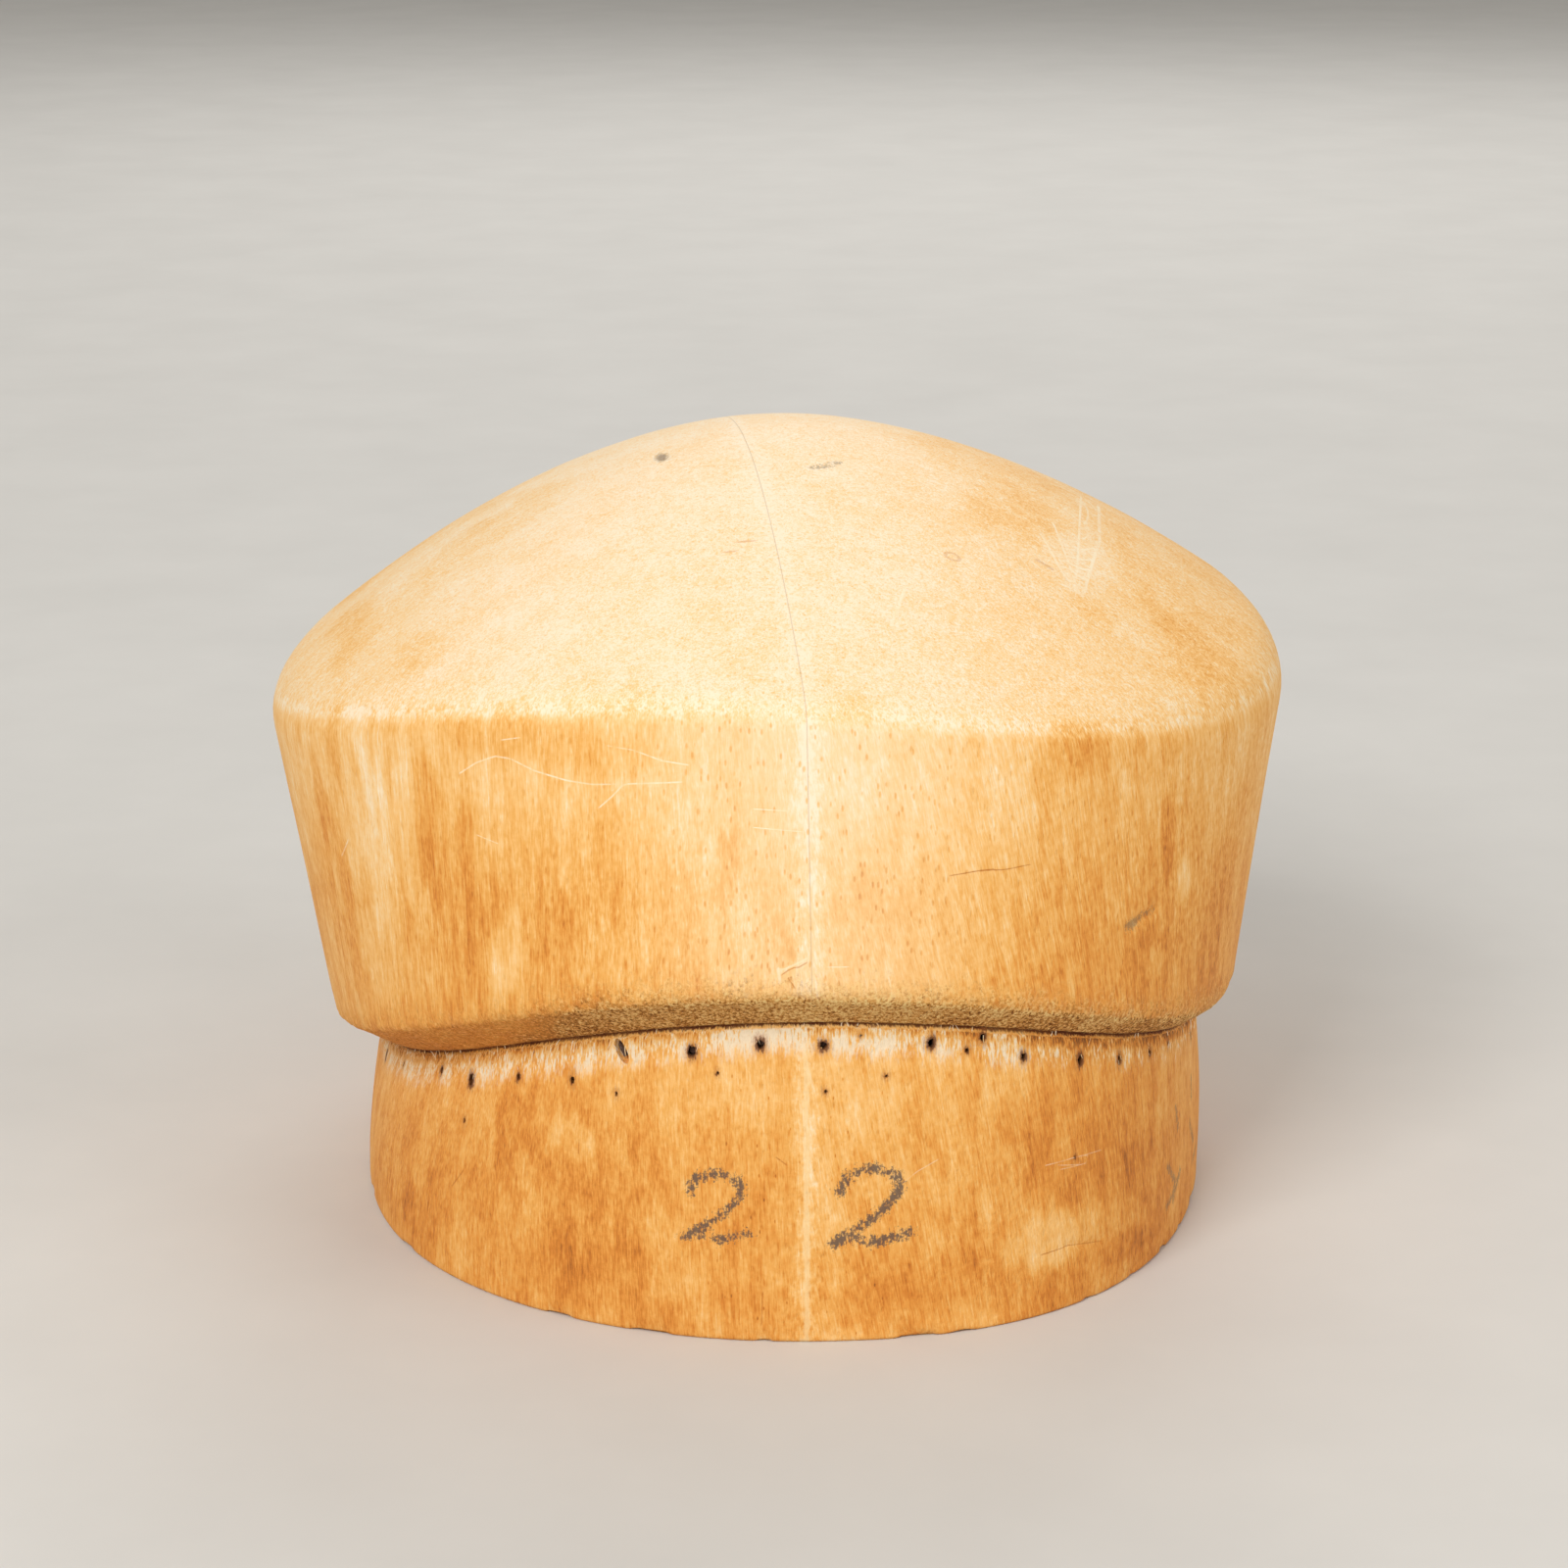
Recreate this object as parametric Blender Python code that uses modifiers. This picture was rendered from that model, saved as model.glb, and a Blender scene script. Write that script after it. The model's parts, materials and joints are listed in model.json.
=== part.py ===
"""Milliner's hat block: two glued and dowelled halves of pale hardwood with a saddle-shaped rope line.

Lengths are metres and angles are degrees. The frame has +Z up and its origin under the middle of the block,
at the foot. X runs across the block and the front faces -Y. An angle round the block starts at the front and
grows towards +X.
"""
import math

import bmesh
import bpy
from mathutils import Matrix, Vector

# Rope line: the oval that sets the hat size, and its height at the sides and at the two ends
ROPE_HALF_WIDTH = 0.0790
ROPE_HALF_LENGTH = 0.0948
OVAL_POWER = 2.07
ROPE_HEIGHT_SIDE = 0.0326
ROPE_HEIGHT_END = 0.0579
ROPE_QUARTER_DIP = -0.0024

# Collar, from the rope line down to the foot, which has an oval of its own
FOOT_HALF_WIDTH = 0.0804
FOOT_HALF_LENGTH = 0.0966
FOOT_OVAL_POWER = 2.19
COLLAR_ROUNDNESS = 1.7
FOOT_ROUNDING = 0.0008

# Chamfer under the crown, from the rope line up to the crown's rim
CHAMFER_REACH = 0.0072
CHAMFER_RISE_SIDE = 0.0048
CHAMFER_RISE_END = 0.0069
RIM_ROUNDING = 0.0020

# Crown: side band, rounded ridge and dome
BAND_FLARE_SIDE = 0.0109
BAND_FLARE_END = -0.0075
RIDGE_HEIGHT_SIDE = 0.1000
RIDGE_HEIGHT_END = 0.1127
RIDGE_ROUNDING_SIDE = 0.0080
RIDGE_ROUNDING_END = 0.0038
BLOCK_HEIGHT = 0.1435
DOME_POWER = 1.81

# Unevenness of the carving: lean is how much higher the right side is than the middle,
# and twist how much higher the front right quarter is, or how much wider as a share.
# The foot's ripple is a share too. The left pinch is how much deeper the rope line is cut on the left.
# On the right the collar swells, most a third of the way up, the rim reaches further and the ridge less far.
ROPE_LEAN = 0.0041
RIDGE_LEAN = 0.0031
ROPE_TWIST = -0.0043
CHAMFER_TWIST = -0.0020
RIDGE_TWIST = -0.0065
COLLAR_TWIST = 0.0120
CROWN_TWIST = -0.0280
FOOT_TWIST = -0.0094
FOOT_RIPPLE = 0.0165
LEFT_PINCH = 0.0026
RIGHT_SWELL = 0.0018
SWELL_START = 0.3
SWELL_SHARPNESS = 4
RIGHT_REACH = 0.0010
RIGHT_TUCK = 0.0016

# Glued seam between the halves, parallel to the front-back plane
SEAM_OFFSET = -0.0076
GLUE_LINE = 0.0003

# Socket in the foot for the spindle of a block stand
SOCKET_RADIUS = 0.0130
SOCKET_DEPTH = 0.0600

# Dowels across the seam: how far before and behind the middle, and the heights of the two pairs
DOWEL_RADIUS = 0.0048
DOWEL_LENGTH = 0.0600
DOWEL_CHAMFER = 0.0010
DOWEL_CLEARANCE = 0.0003
DOWEL_SPREAD = 0.0550
DOWEL_HEIGHT_LOW = 0.0250
DOWEL_HEIGHT_HIGH = 0.0900

# Pin holes of one end, right round to the sides: angle, drop below the rope line, radius
PIN_HOLES = (
    (-69.4, 0.0030, 0.0005),
    (-55.3, 0.0032, 0.0006),
    (-48, 0.0125, 0.0005),
    (-47.7, 0.0053, 0.0008),
    (-39, 0.0056, 0.0006),
    (-30.9, 0.0072, 0.0006),
    (-25.2, 0.0105, 0.0005),
    (-16.6, 0.0041, 0.0009),
    (-13.8, 0.0081, 0.0005),
    (-9.3, 0.0034, 0.0008),
    (-2.8, 0.0038, 0.0008),
    (-2.6, 0.0120, 0.0005),
    (1.0, 0.0020, 0.0005),
    (3.7, 0.0091, 0.0005),
    (8.5, 0.0030, 0.0008),
    (12.5, 0.0040, 0.0006),
    (14.4, 0.0014, 0.0007),
    (19.3, 0.0045, 0.0007),
    (26, 0.0223, 0.0005),
    (27.2, 0.0046, 0.0008),
    (34.1, 0.0044, 0.0007),
    (41.1, 0.0036, 0.0006),
    (46.9, 0.0026, 0.0005),
    (59.4, 0.0040, 0.0006),
    (72, 0.0036, 0.0007),
    (84, 0.0044, 0.0006),
    (98, 0.0038, 0.0007),
)
PIN_HOLE_DEPTH = 0.0090

# Stubs of blocking pins broken off in some of the holes of the front, counted along PIN_HOLES
STUB_HOLES = (3, 7, 9, 10)
STUB_CLEARANCE = 0.0003
STUB_SINK = 0.0010

# Bent nail in a slanted pocket below the rope line, left of the front
NAIL_RADIUS = 0.0004
NAIL_SHANK = 0.0080
NAIL_TAIL = 0.0024
NAIL_SINK = 0.0008
NAIL_CLEARANCE = 0.0003
POCKET_ANGLE = -24.7
POCKET_DROP = 0.0030
POCKET_TILT = 30.0
POCKET_HALF_WIDTH = 0.0010
POCKET_HALF_LENGTH = 0.0024
POCKET_DEPTH = 0.0021

# Fineness of the faceted surfaces
ANGLE_STEPS = 96
COLLAR_STEPS = 6
BAND_STEPS = 4
ROUNDING_STEPS = 5
DOME_STEPS = 13
SOCKET_SIDES = 32
DOWEL_SIDES = 24
SHANK_SIDES = 12
STUB_SIDES = 10
PIN_HOLE_SIDES = 8
POCKET_SIDES = 16
SHARP_ANGLE = 35

# How far cutters run past what they cut
OVERRUN = 0.0050


def clear_scene():
    for item in list(bpy.data.objects):
        bpy.data.objects.remove(item, do_unlink=True)


def new_collection(name):
    collection = bpy.data.collections.new(name)
    bpy.context.scene.collection.children.link(collection)
    return collection


def make_material(name, colour, roughness, metallic=0.0):
    material = bpy.data.materials.new(name)
    material.use_nodes = True
    shader = material.node_tree.nodes["Principled BSDF"]
    shader.inputs["Base Color"].default_value = (*colour, 1.0)
    shader.inputs["Roughness"].default_value = roughness
    shader.inputs["Metallic"].default_value = metallic
    return material


def blend(side, end, angle):
    """The value at an angle, between the sides' value and the value at the front and the back."""
    return side + (end - side) * math.cos(angle) ** 2


def front_twist(angle):
    """Share of a twist at an angle: largest at the front quarters, opposite left and right, 0 at the back."""
    return math.sin(2 * angle) * (1 + math.cos(angle)) / 2


def front_ripple(angle):
    """Share of a ripple at an angle: twice as many waves as a twist, and none at the back."""
    return math.sin(4 * angle) * (1 + math.cos(angle)) / 2


def oval_radius(angle, half_width, half_length, power):
    across = abs(math.sin(angle) / half_width) ** power
    along = abs(math.cos(angle) / half_length) ** power
    return (across + along) ** (-1 / power)


def side_share(angle, side):
    """Share of what only one side has at an angle: side is -1 for the left and 1 for the right."""
    return max(0, side * math.sin(angle)) ** 2


def right_swell(angle, height_share):
    """How far the collar stands out on the right, at a share of its height."""
    rise = math.sin(math.pi * (height_share + SWELL_START) / (1 + SWELL_START))
    return RIGHT_SWELL * side_share(angle, 1) ** SWELL_SHARPNESS * rise


def rope_point(angle):
    """Radius and height of the rope line at an angle."""
    oval = oval_radius(angle, ROPE_HALF_WIDTH, ROPE_HALF_LENGTH, OVAL_POWER)
    radius = oval * (1 + COLLAR_TWIST * front_twist(angle)) - LEFT_PINCH * side_share(angle, -1)
    height = blend(ROPE_HEIGHT_SIDE, ROPE_HEIGHT_END, angle) + ROPE_QUARTER_DIP * math.sin(2 * angle) ** 2
    return Vector((radius, height + ROPE_LEAN * math.sin(angle) + ROPE_TWIST * front_twist(angle)))


def foot_radius(angle):
    oval = oval_radius(angle, FOOT_HALF_WIDTH, FOOT_HALF_LENGTH, FOOT_OVAL_POWER)
    return oval * (1 + FOOT_TWIST * front_twist(angle) + FOOT_RIPPLE * front_ripple(angle))


def collar_radius(angle, height):
    """Radius of the collar at a height between the foot and the rope line."""
    rope = rope_point(angle)
    foot = foot_radius(angle)
    share = height / rope.y
    return foot + (rope.x - foot) * share ** COLLAR_ROUNDNESS + right_swell(angle, share)


def rim_point(angle):
    """Radius and height of the crown's lower rim, at the outer edge of the chamfer."""
    rope = rope_point(angle)
    reach = CHAMFER_REACH + LEFT_PINCH * side_share(angle, -1) + RIGHT_REACH * side_share(angle, 1)
    radius = (rope.x + reach) * (1 + CROWN_TWIST * front_twist(angle))
    rise = blend(CHAMFER_RISE_SIDE, CHAMFER_RISE_END, angle) + CHAMFER_TWIST * front_twist(angle)
    return Vector((radius, rope.y + rise))


def ridge_point(angle):
    """Radius and height of the ridge between band and dome, before it is rounded."""
    flare = blend(BAND_FLARE_SIDE, BAND_FLARE_END, angle) - RIGHT_TUCK * side_share(angle, 1)
    height = blend(RIDGE_HEIGHT_SIDE, RIDGE_HEIGHT_END, angle)
    height += RIDGE_LEAN * math.sin(angle) + RIDGE_TWIST * front_twist(angle)
    return Vector((rim_point(angle).x + flare, height))


def dome_point(angle, share):
    """Point of the dome at a share of the way from its middle to the ridge."""
    ridge = ridge_point(angle)
    return Vector((ridge.x * share, ridge.y + (BLOCK_HEIGHT - ridge.y) * (1 - share ** DOME_POWER)))


def rounded(start, corner, end):
    """Points of the curve that rounds a corner off, from start to end."""
    points = []
    for step in range(ROUNDING_STEPS + 1):
        share = step / ROUNDING_STEPS
        points.append(start.lerp(corner, share).lerp(corner.lerp(end, share), share))
    return points


def towards(start, end, distance):
    return start + (end - start).normalized() * distance


def profile(angle):
    """Half section of the block in the upright plane at an angle, from the foot to the top of the dome."""
    rope = rope_point(angle)
    rim = rim_point(angle)
    ridge = ridge_point(angle)
    points = [Vector((collar_radius(angle, 0) - FOOT_ROUNDING, 0))]
    for step in range(COLLAR_STEPS):
        height = FOOT_ROUNDING + (rope.y - FOOT_ROUNDING) * step / COLLAR_STEPS
        points.append(Vector((collar_radius(angle, height), height)))
    points.append(rope)
    points += rounded(towards(rim, rope, RIM_ROUNDING), rim, towards(rim, ridge, RIM_ROUNDING))
    band_foot = points[-1]
    rounding = blend(RIDGE_ROUNDING_SIDE, RIDGE_ROUNDING_END, angle)
    band_head = towards(ridge, rim, rounding)
    points += [band_foot.lerp(band_head, step / BAND_STEPS) for step in range(1, BAND_STEPS)]
    dome_edge = 1 - rounding / ridge.x
    points += rounded(band_head, ridge, dome_point(angle, dome_edge))
    points += [dome_point(angle, dome_edge * (1 - step / DOME_STEPS)) for step in range(1, DOME_STEPS)]
    return points


def at_angle(angle, radius, height):
    return Vector((radius * math.sin(angle), -radius * math.cos(angle), height))


def make_block_mesh():
    """The whole carved form, as a loft through the half sections round the block."""
    mesh = bmesh.new()
    columns = []
    for step in range(ANGLE_STEPS):
        angle = 2 * math.pi * step / ANGLE_STEPS
        columns.append([mesh.verts.new(at_angle(angle, *point)) for point in profile(angle)])
    top = mesh.verts.new((0, 0, BLOCK_HEIGHT))
    mesh.faces.new([column[0] for column in reversed(columns)])
    for column, following in zip(columns, columns[1:] + columns[:1]):
        for level in range(len(column) - 1):
            mesh.faces.new((column[level], following[level], following[level + 1], column[level + 1]))
        mesh.faces.new((column[-1], following[-1], top))
    block = bpy.data.meshes.new("carved_block")
    mesh.to_mesh(block)
    mesh.free()
    block.shade_smooth()
    block.set_sharp_from_angle(angle=math.radians(SHARP_ANGLE))
    return block


def add_object(name, mesh, material, collection, parent):
    item = bpy.data.objects.new(name, mesh)
    mesh.materials.clear()
    mesh.materials.append(material)
    item.parent = parent
    collection.objects.link(item)
    return item


def add_cutter(name, mesh, collection):
    cutter = bpy.data.objects.new(name, mesh)
    cutter.hide_render = True
    cutter.display_type = "WIRE"
    collection.objects.link(cutter)
    return cutter


def cylinder_mesh(name, rods, sides):
    """Closed cylinders as one mesh: each rod has a start, an end and a radius."""
    mesh = bmesh.new()
    for start, end, radius in rods:
        run = end - start
        turn = run.to_track_quat("Z", "Y").to_matrix().to_4x4()
        place = Matrix.Translation((start + end) / 2) @ turn
        bmesh.ops.create_cone(mesh, cap_ends=True, segments=sides, radius1=radius, radius2=radius,
                              depth=run.length, matrix=place)
    data = bpy.data.meshes.new(name)
    mesh.to_mesh(data)
    mesh.free()
    return data


def box_mesh(name, low, high):
    mesh = bmesh.new()
    size = high - low
    place = Matrix.Translation((low + high) / 2) @ Matrix.Diagonal((*size, 1))
    bmesh.ops.create_cube(mesh, size=1, matrix=place)
    data = bpy.data.meshes.new(name)
    mesh.to_mesh(data)
    mesh.free()
    return data


def cut(item, cutter, operation="DIFFERENCE"):
    modifier = item.modifiers.new(cutter.name, "BOOLEAN")
    modifier.operation = operation
    modifier.solver = "EXACT"
    modifier.object = cutter


def half_space(name, side, collection):
    """Box over everything on one side of the glue line: side is -1 for the left and 1 for the right."""
    reach = 2 * max(ROPE_HALF_LENGTH, BLOCK_HEIGHT)
    face = SEAM_OFFSET + side * GLUE_LINE / 2
    low = Vector((min(face, side * reach), -reach, -OVERRUN))
    high = Vector((max(face, side * reach), reach, BLOCK_HEIGHT + OVERRUN))
    return add_cutter(name, box_mesh(name, low, high), collection)


def dowel_places():
    """Name and middle of each dowel."""
    places = {}
    for end_name, end_sign in (("front", -1), ("back", 1)):
        for level_name, height in (("low", DOWEL_HEIGHT_LOW), ("high", DOWEL_HEIGHT_HIGH)):
            places[f"dowel_{end_name}_{level_name}"] = Vector((SEAM_OFFSET, end_sign * DOWEL_SPREAD, height))
    return places


def dowel_bore_rods():
    reach = Vector((DOWEL_LENGTH / 2 + DOWEL_CLEARANCE, 0, 0))
    radius = DOWEL_RADIUS + DOWEL_CLEARANCE
    return [(middle - reach, middle + reach, radius) for middle in dowel_places().values()]


def make_dowel(name, middle, material, collection, parent):
    """Turned rod with chamfered ends, laid across the seam."""
    half = DOWEL_LENGTH / 2
    outline = bmesh.new()
    points = ((0, half), (DOWEL_RADIUS - DOWEL_CHAMFER, half), (DOWEL_RADIUS, half - DOWEL_CHAMFER),
              (DOWEL_RADIUS, DOWEL_CHAMFER - half), (DOWEL_RADIUS - DOWEL_CHAMFER, -half), (0, -half))
    verts = [outline.verts.new((radius, 0, height)) for radius, height in points]
    for first, second in zip(verts, verts[1:]):
        outline.edges.new((first, second))
    data = bpy.data.meshes.new(name)
    outline.to_mesh(data)
    outline.free()
    dowel = add_object(name, data, material, collection, parent)
    dowel.location = middle
    dowel.rotation_euler = (0, math.radians(90), 0)
    screw = dowel.modifiers.new("turned", "SCREW")
    screw.axis = "Z"
    screw.steps = screw.render_steps = DOWEL_SIDES
    screw.use_merge_vertices = True
    screw.merge_threshold = 0.00001


def collar_frame(angle, drop):
    """Point on the collar below the rope line, with the outward direction there."""
    height = rope_point(angle).y - drop
    return at_angle(angle, collar_radius(angle, height), height), at_angle(angle, 1, 0)


def pin_hole_rods():
    """A hole for each entry of the list, at the front and again at the back."""
    rods = []
    for half_turn in (0, math.pi):
        for degrees, drop, radius in PIN_HOLES:
            place, outward = collar_frame(math.radians(degrees) + half_turn, drop)
            rods.append((place - outward * PIN_HOLE_DEPTH, place + outward * OVERRUN, radius))
    return rods


def stub_rods():
    rods = []
    for index in STUB_HOLES:
        degrees, drop, radius = PIN_HOLES[index]
        place, outward = collar_frame(math.radians(degrees), drop)
        inner = place - outward * (PIN_HOLE_DEPTH - STUB_CLEARANCE)
        rods.append((inner, place - outward * STUB_SINK, radius - STUB_CLEARANCE))
    return rods


def pocket_frame():
    """Middle of the nail's pocket on the collar, the outward direction and the direction of its slant."""
    angle = math.radians(POCKET_ANGLE)
    place, outward = collar_frame(angle, POCKET_DROP)
    slant = Matrix.Rotation(math.radians(POCKET_TILT), 3, outward) @ Vector((0, 0, 1))
    return place, outward, slant


def nail_route():
    """Bend and two ends of the nail: the shank runs into the wood, the tail lies down the pocket."""
    place, outward, slant = pocket_frame()
    bend = place - outward * NAIL_SINK + slant * NAIL_TAIL / 2
    return bend - outward * NAIL_SHANK, bend, bend - slant * NAIL_TAIL


def make_pocket_cutters(collection):
    """The nail's oval pocket and the hole of its shank, as two cutters."""
    place, outward, slant = pocket_frame()
    across = outward.cross(slant)
    turn = Matrix((across, outward, slant)).transposed().to_4x4()
    size = Matrix.Diagonal((POCKET_HALF_WIDTH, POCKET_DEPTH, POCKET_HALF_LENGTH, 1))
    mesh = bmesh.new()
    bmesh.ops.create_uvsphere(mesh, u_segments=POCKET_SIDES, v_segments=POCKET_SIDES // 2, radius=1,
                              matrix=Matrix.Translation(place) @ turn @ size)
    data = bpy.data.meshes.new("nail_pocket_cutter")
    mesh.to_mesh(data)
    mesh.free()
    inner, bend, _ = nail_route()
    rod = (inner - outward * NAIL_CLEARANCE, bend, NAIL_RADIUS + NAIL_CLEARANCE)
    shank = cylinder_mesh("nail_shank_cutter", [rod], SHANK_SIDES)
    pocket_cutter = add_cutter("nail_pocket_cutter", data, collection)
    return [pocket_cutter, add_cutter("nail_shank_cutter", shank, collection)]


def make_nail(material, collection, parent):
    """Round wire along the nail's route, with a rounded bend."""
    inner, bend, tail = nail_route()
    turn = 2 * NAIL_RADIUS
    knee = rounded(towards(bend, inner, turn), bend, towards(bend, tail, turn))
    route = [inner] + knee + [tail]
    wire = bpy.data.curves.new("bent_nail_wire", "CURVE")
    wire.dimensions = "3D"
    wire.bevel_depth = NAIL_RADIUS
    wire.bevel_resolution = 2
    wire.use_fill_caps = True
    spline = wire.splines.new("POLY")
    spline.points.add(len(route) - 1)
    for point, place in zip(spline.points, route):
        point.co = (*place, 1)
    return add_object("bent_nail", wire, material, collection, parent)


def build():
    clear_scene()
    parts = new_collection("hat_block")
    cutters = new_collection("cutters")
    frame = bpy.data.objects.new("block_frame", None)
    parts.objects.link(frame)

    pale_wood = make_material("pale_hardwood", (0.85, 0.55, 0.26), 0.5)
    warm_wood = make_material("warm_hardwood", (0.78, 0.47, 0.20), 0.5)
    dowel_wood = make_material("dowel_beech", (0.62, 0.38, 0.20), 0.6)
    rusty_steel = make_material("rusty_steel", (0.12, 0.09, 0.08), 0.55, 0.8)
    grey_steel = make_material("grey_steel", (0.36, 0.34, 0.33), 0.45, 0.9)

    block = make_block_mesh()
    socket_rod = (Vector((0, 0, -OVERRUN)), Vector((0, 0, SOCKET_DEPTH)), SOCKET_RADIUS)
    round_cuts = (
        ("socket_cutter", [socket_rod], SOCKET_SIDES),
        ("dowel_bore_cutter", dowel_bore_rods(), DOWEL_SIDES),
        ("pin_hole_cutter", pin_hole_rods(), PIN_HOLE_SIDES),
    )
    shared_cutters = make_pocket_cutters(cutters)
    for name, rods, sides in round_cuts:
        shared_cutters.append(add_cutter(name, cylinder_mesh(name, rods, sides), cutters))
    for name, side, material in (("left_half", -1, warm_wood), ("right_half", 1, pale_wood)):
        half = add_object(name, block.copy(), material, parts, frame)
        cut(half, half_space(f"{name}_space", side, cutters), "INTERSECT")
        for cutter in shared_cutters:
            cut(half, cutter)

    for name, middle in dowel_places().items():
        make_dowel(name, middle, dowel_wood, parts, frame)
    for number, rod in enumerate(stub_rods(), start=1):
        name = f"broken_pin_{number}"
        add_object(name, cylinder_mesh(name, [rod], STUB_SIDES), rusty_steel, parts, frame)
    make_nail(grey_steel, parts, frame)


build()
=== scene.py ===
import json
import math
import random
from itertools import product

import bpy
import numpy as np
from mathutils import Matrix, Vector, noise

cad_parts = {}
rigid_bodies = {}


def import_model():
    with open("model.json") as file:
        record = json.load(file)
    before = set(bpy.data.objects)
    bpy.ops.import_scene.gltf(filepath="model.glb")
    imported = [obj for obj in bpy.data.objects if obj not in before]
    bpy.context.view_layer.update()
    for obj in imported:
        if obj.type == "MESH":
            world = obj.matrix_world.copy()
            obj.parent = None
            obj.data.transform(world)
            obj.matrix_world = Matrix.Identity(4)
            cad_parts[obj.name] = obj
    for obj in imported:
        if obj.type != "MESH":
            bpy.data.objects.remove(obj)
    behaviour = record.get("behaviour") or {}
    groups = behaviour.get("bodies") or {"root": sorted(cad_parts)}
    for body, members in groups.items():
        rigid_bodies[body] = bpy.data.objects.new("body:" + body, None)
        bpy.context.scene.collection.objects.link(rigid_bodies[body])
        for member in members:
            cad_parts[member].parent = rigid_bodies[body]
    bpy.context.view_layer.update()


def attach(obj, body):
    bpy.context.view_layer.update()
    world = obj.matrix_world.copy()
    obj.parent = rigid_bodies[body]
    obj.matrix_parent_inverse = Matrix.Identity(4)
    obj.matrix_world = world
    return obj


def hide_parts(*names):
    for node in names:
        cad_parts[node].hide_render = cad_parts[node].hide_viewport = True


# Looks of a milliner's hat block: two glued halves of pale hardwood, worn, steamed and pinned for years.
# Lengths are metres. An angle round the block is in radians, starts at the front and grows towards +X.
# The level of a point says where it lies up the block: 0 foot, 1 rope line, 2 rim, 3 ridge, 4 top.

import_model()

# Rope line, collar, crown and unevenness, as in the part
ROPE_HALF_WIDTH = 0.0790
ROPE_HALF_LENGTH = 0.0948
OVAL_POWER = 2.07
ROPE_HEIGHT_SIDE = 0.0326
ROPE_HEIGHT_END = 0.0579
ROPE_QUARTER_DIP = -0.0024
FOOT_HALF_WIDTH = 0.0804
FOOT_HALF_LENGTH = 0.0966
FOOT_OVAL_POWER = 2.19
COLLAR_ROUNDNESS = 1.7
FOOT_ROUNDING = 0.0008
CHAMFER_REACH = 0.0072
CHAMFER_RISE_SIDE = 0.0048
CHAMFER_RISE_END = 0.0069
RIM_ROUNDING = 0.0020
LEFT_CRISPNESS = 0.6
BAND_FLARE_SIDE = 0.0109
BAND_FLARE_END = -0.0075
RIDGE_HEIGHT_SIDE = 0.1000
RIDGE_HEIGHT_END = 0.1127
RIDGE_ROUNDING_SIDE = 0.0080
RIDGE_ROUNDING_END = 0.0038
BLOCK_HEIGHT = 0.1435
DOME_POWER = 1.81
ROPE_LEAN = 0.0041
RIDGE_LEAN = 0.0031
ROPE_TWIST = -0.0043
CHAMFER_TWIST = -0.0020
RIDGE_TWIST = -0.0065
COLLAR_TWIST = 0.0120
CROWN_TWIST = -0.0280
FOOT_TWIST = -0.0094
FOOT_RIPPLE = 0.0165
LEFT_PINCH = 0.0026
RIGHT_SWELL = 0.0018
SWELL_START = 0.3
SWELL_SHARPNESS = 4
RIGHT_REACH = 0.0010
RIGHT_TUCK = 0.0016

# Glued seam, spindle socket and dowel bores, as in the part; the halves stand closer than their solids
SEAM_OFFSET = -0.0076
SEAM_GAP = 0.000005
SHARP_ANGLE = 60
SOCKET_RADIUS = 0.0130
SOCKET_DEPTH = 0.0600
DOWEL_BORE_RADIUS = 0.0051
DOWEL_BORE_LENGTH = 0.0606
DOWEL_SPREAD = 0.0550
DOWEL_HEIGHTS = (0.025, 0.09)

# Pin holes of one end: degrees, drop below the rope line, radius. The other end has the same.
ENDS = (0, 180)
PIN_HOLES = (
    (-69.4, 0.003, 0.0005), (-55.3, 0.0032, 0.0006), (-48, 0.0125, 0.0005), (-47.7, 0.0053, 0.0008),
    (-39, 0.0056, 0.0006), (-30.9, 0.0072, 0.0006), (-25.2, 0.0105, 0.0005), (-16.6, 0.0041, 0.0009),
    (-13.8, 0.0081, 0.0005), (-9.3, 0.0034, 0.0008), (-2.8, 0.0038, 0.0008), (-2.6, 0.012, 0.0005),
    (1, 0.002, 0.0005), (3.7, 0.0091, 0.0005), (8.5, 0.003, 0.0008), (12.5, 0.004, 0.0006),
    (14.4, 0.0014, 0.0007), (19.3, 0.0045, 0.0007), (26, 0.0223, 0.0005), (27.2, 0.0046, 0.0008),
    (34.1, 0.0044, 0.0007), (41.1, 0.0036, 0.0006), (46.9, 0.0026, 0.0005), (59.4, 0.004, 0.0006),
    (72, 0.0036, 0.0007), (84, 0.0044, 0.0006), (98, 0.0038, 0.0007),
)
PIN_HOLE_DEPTH = 0.0090
PIN_HOLE_STRETCH = 1.2
SIDE_STRETCH = 0.9
POCKET = {"angle": -24.7, "drop": 0.0030, "tilt": 30.0}
POCKET_SIZE = (0.0010, 0.0021, 0.0024)

# Pin holes as worn: small ones have closed a little and are cleaner. Each is ragged, and narrower inside.
HOLE_WIDENING = 1.8
HOLE_CLOSING = 0.00062
STAIN_WIDENING = 2.4
STAIN_CLOSING = 0.0011
WIDEST_STAIN = 0.0008
HOLE_TAPER = (0.65, 0.85)
HOLE_RAGGEDNESS = (0.65, 1.20)

# Unevenness of the carved surface: height of its waves, depth of the crease and of the nicks at the foot
SWAY = 0.00030
TOOL_MARKS = 0.00006
TORN_ROUGHNESS = 0.00022
CHAMFER_ROUGHNESS = 0.00020
RIM_WEAR = 0.00030
CREASE_DEPTH = 0.0004
NICK_DEPTH = 0.0004

# Fineness of the carved surface
COLUMNS = 720
FOOT_ROWS = 3
COLLAR_ROWS = 62
CHAMFER_ROWS = 14
RIM_ROWS = 6
BAND_ROWS = 56
RIDGE_ROWS = 10
DOME_ROWS = 60

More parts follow.
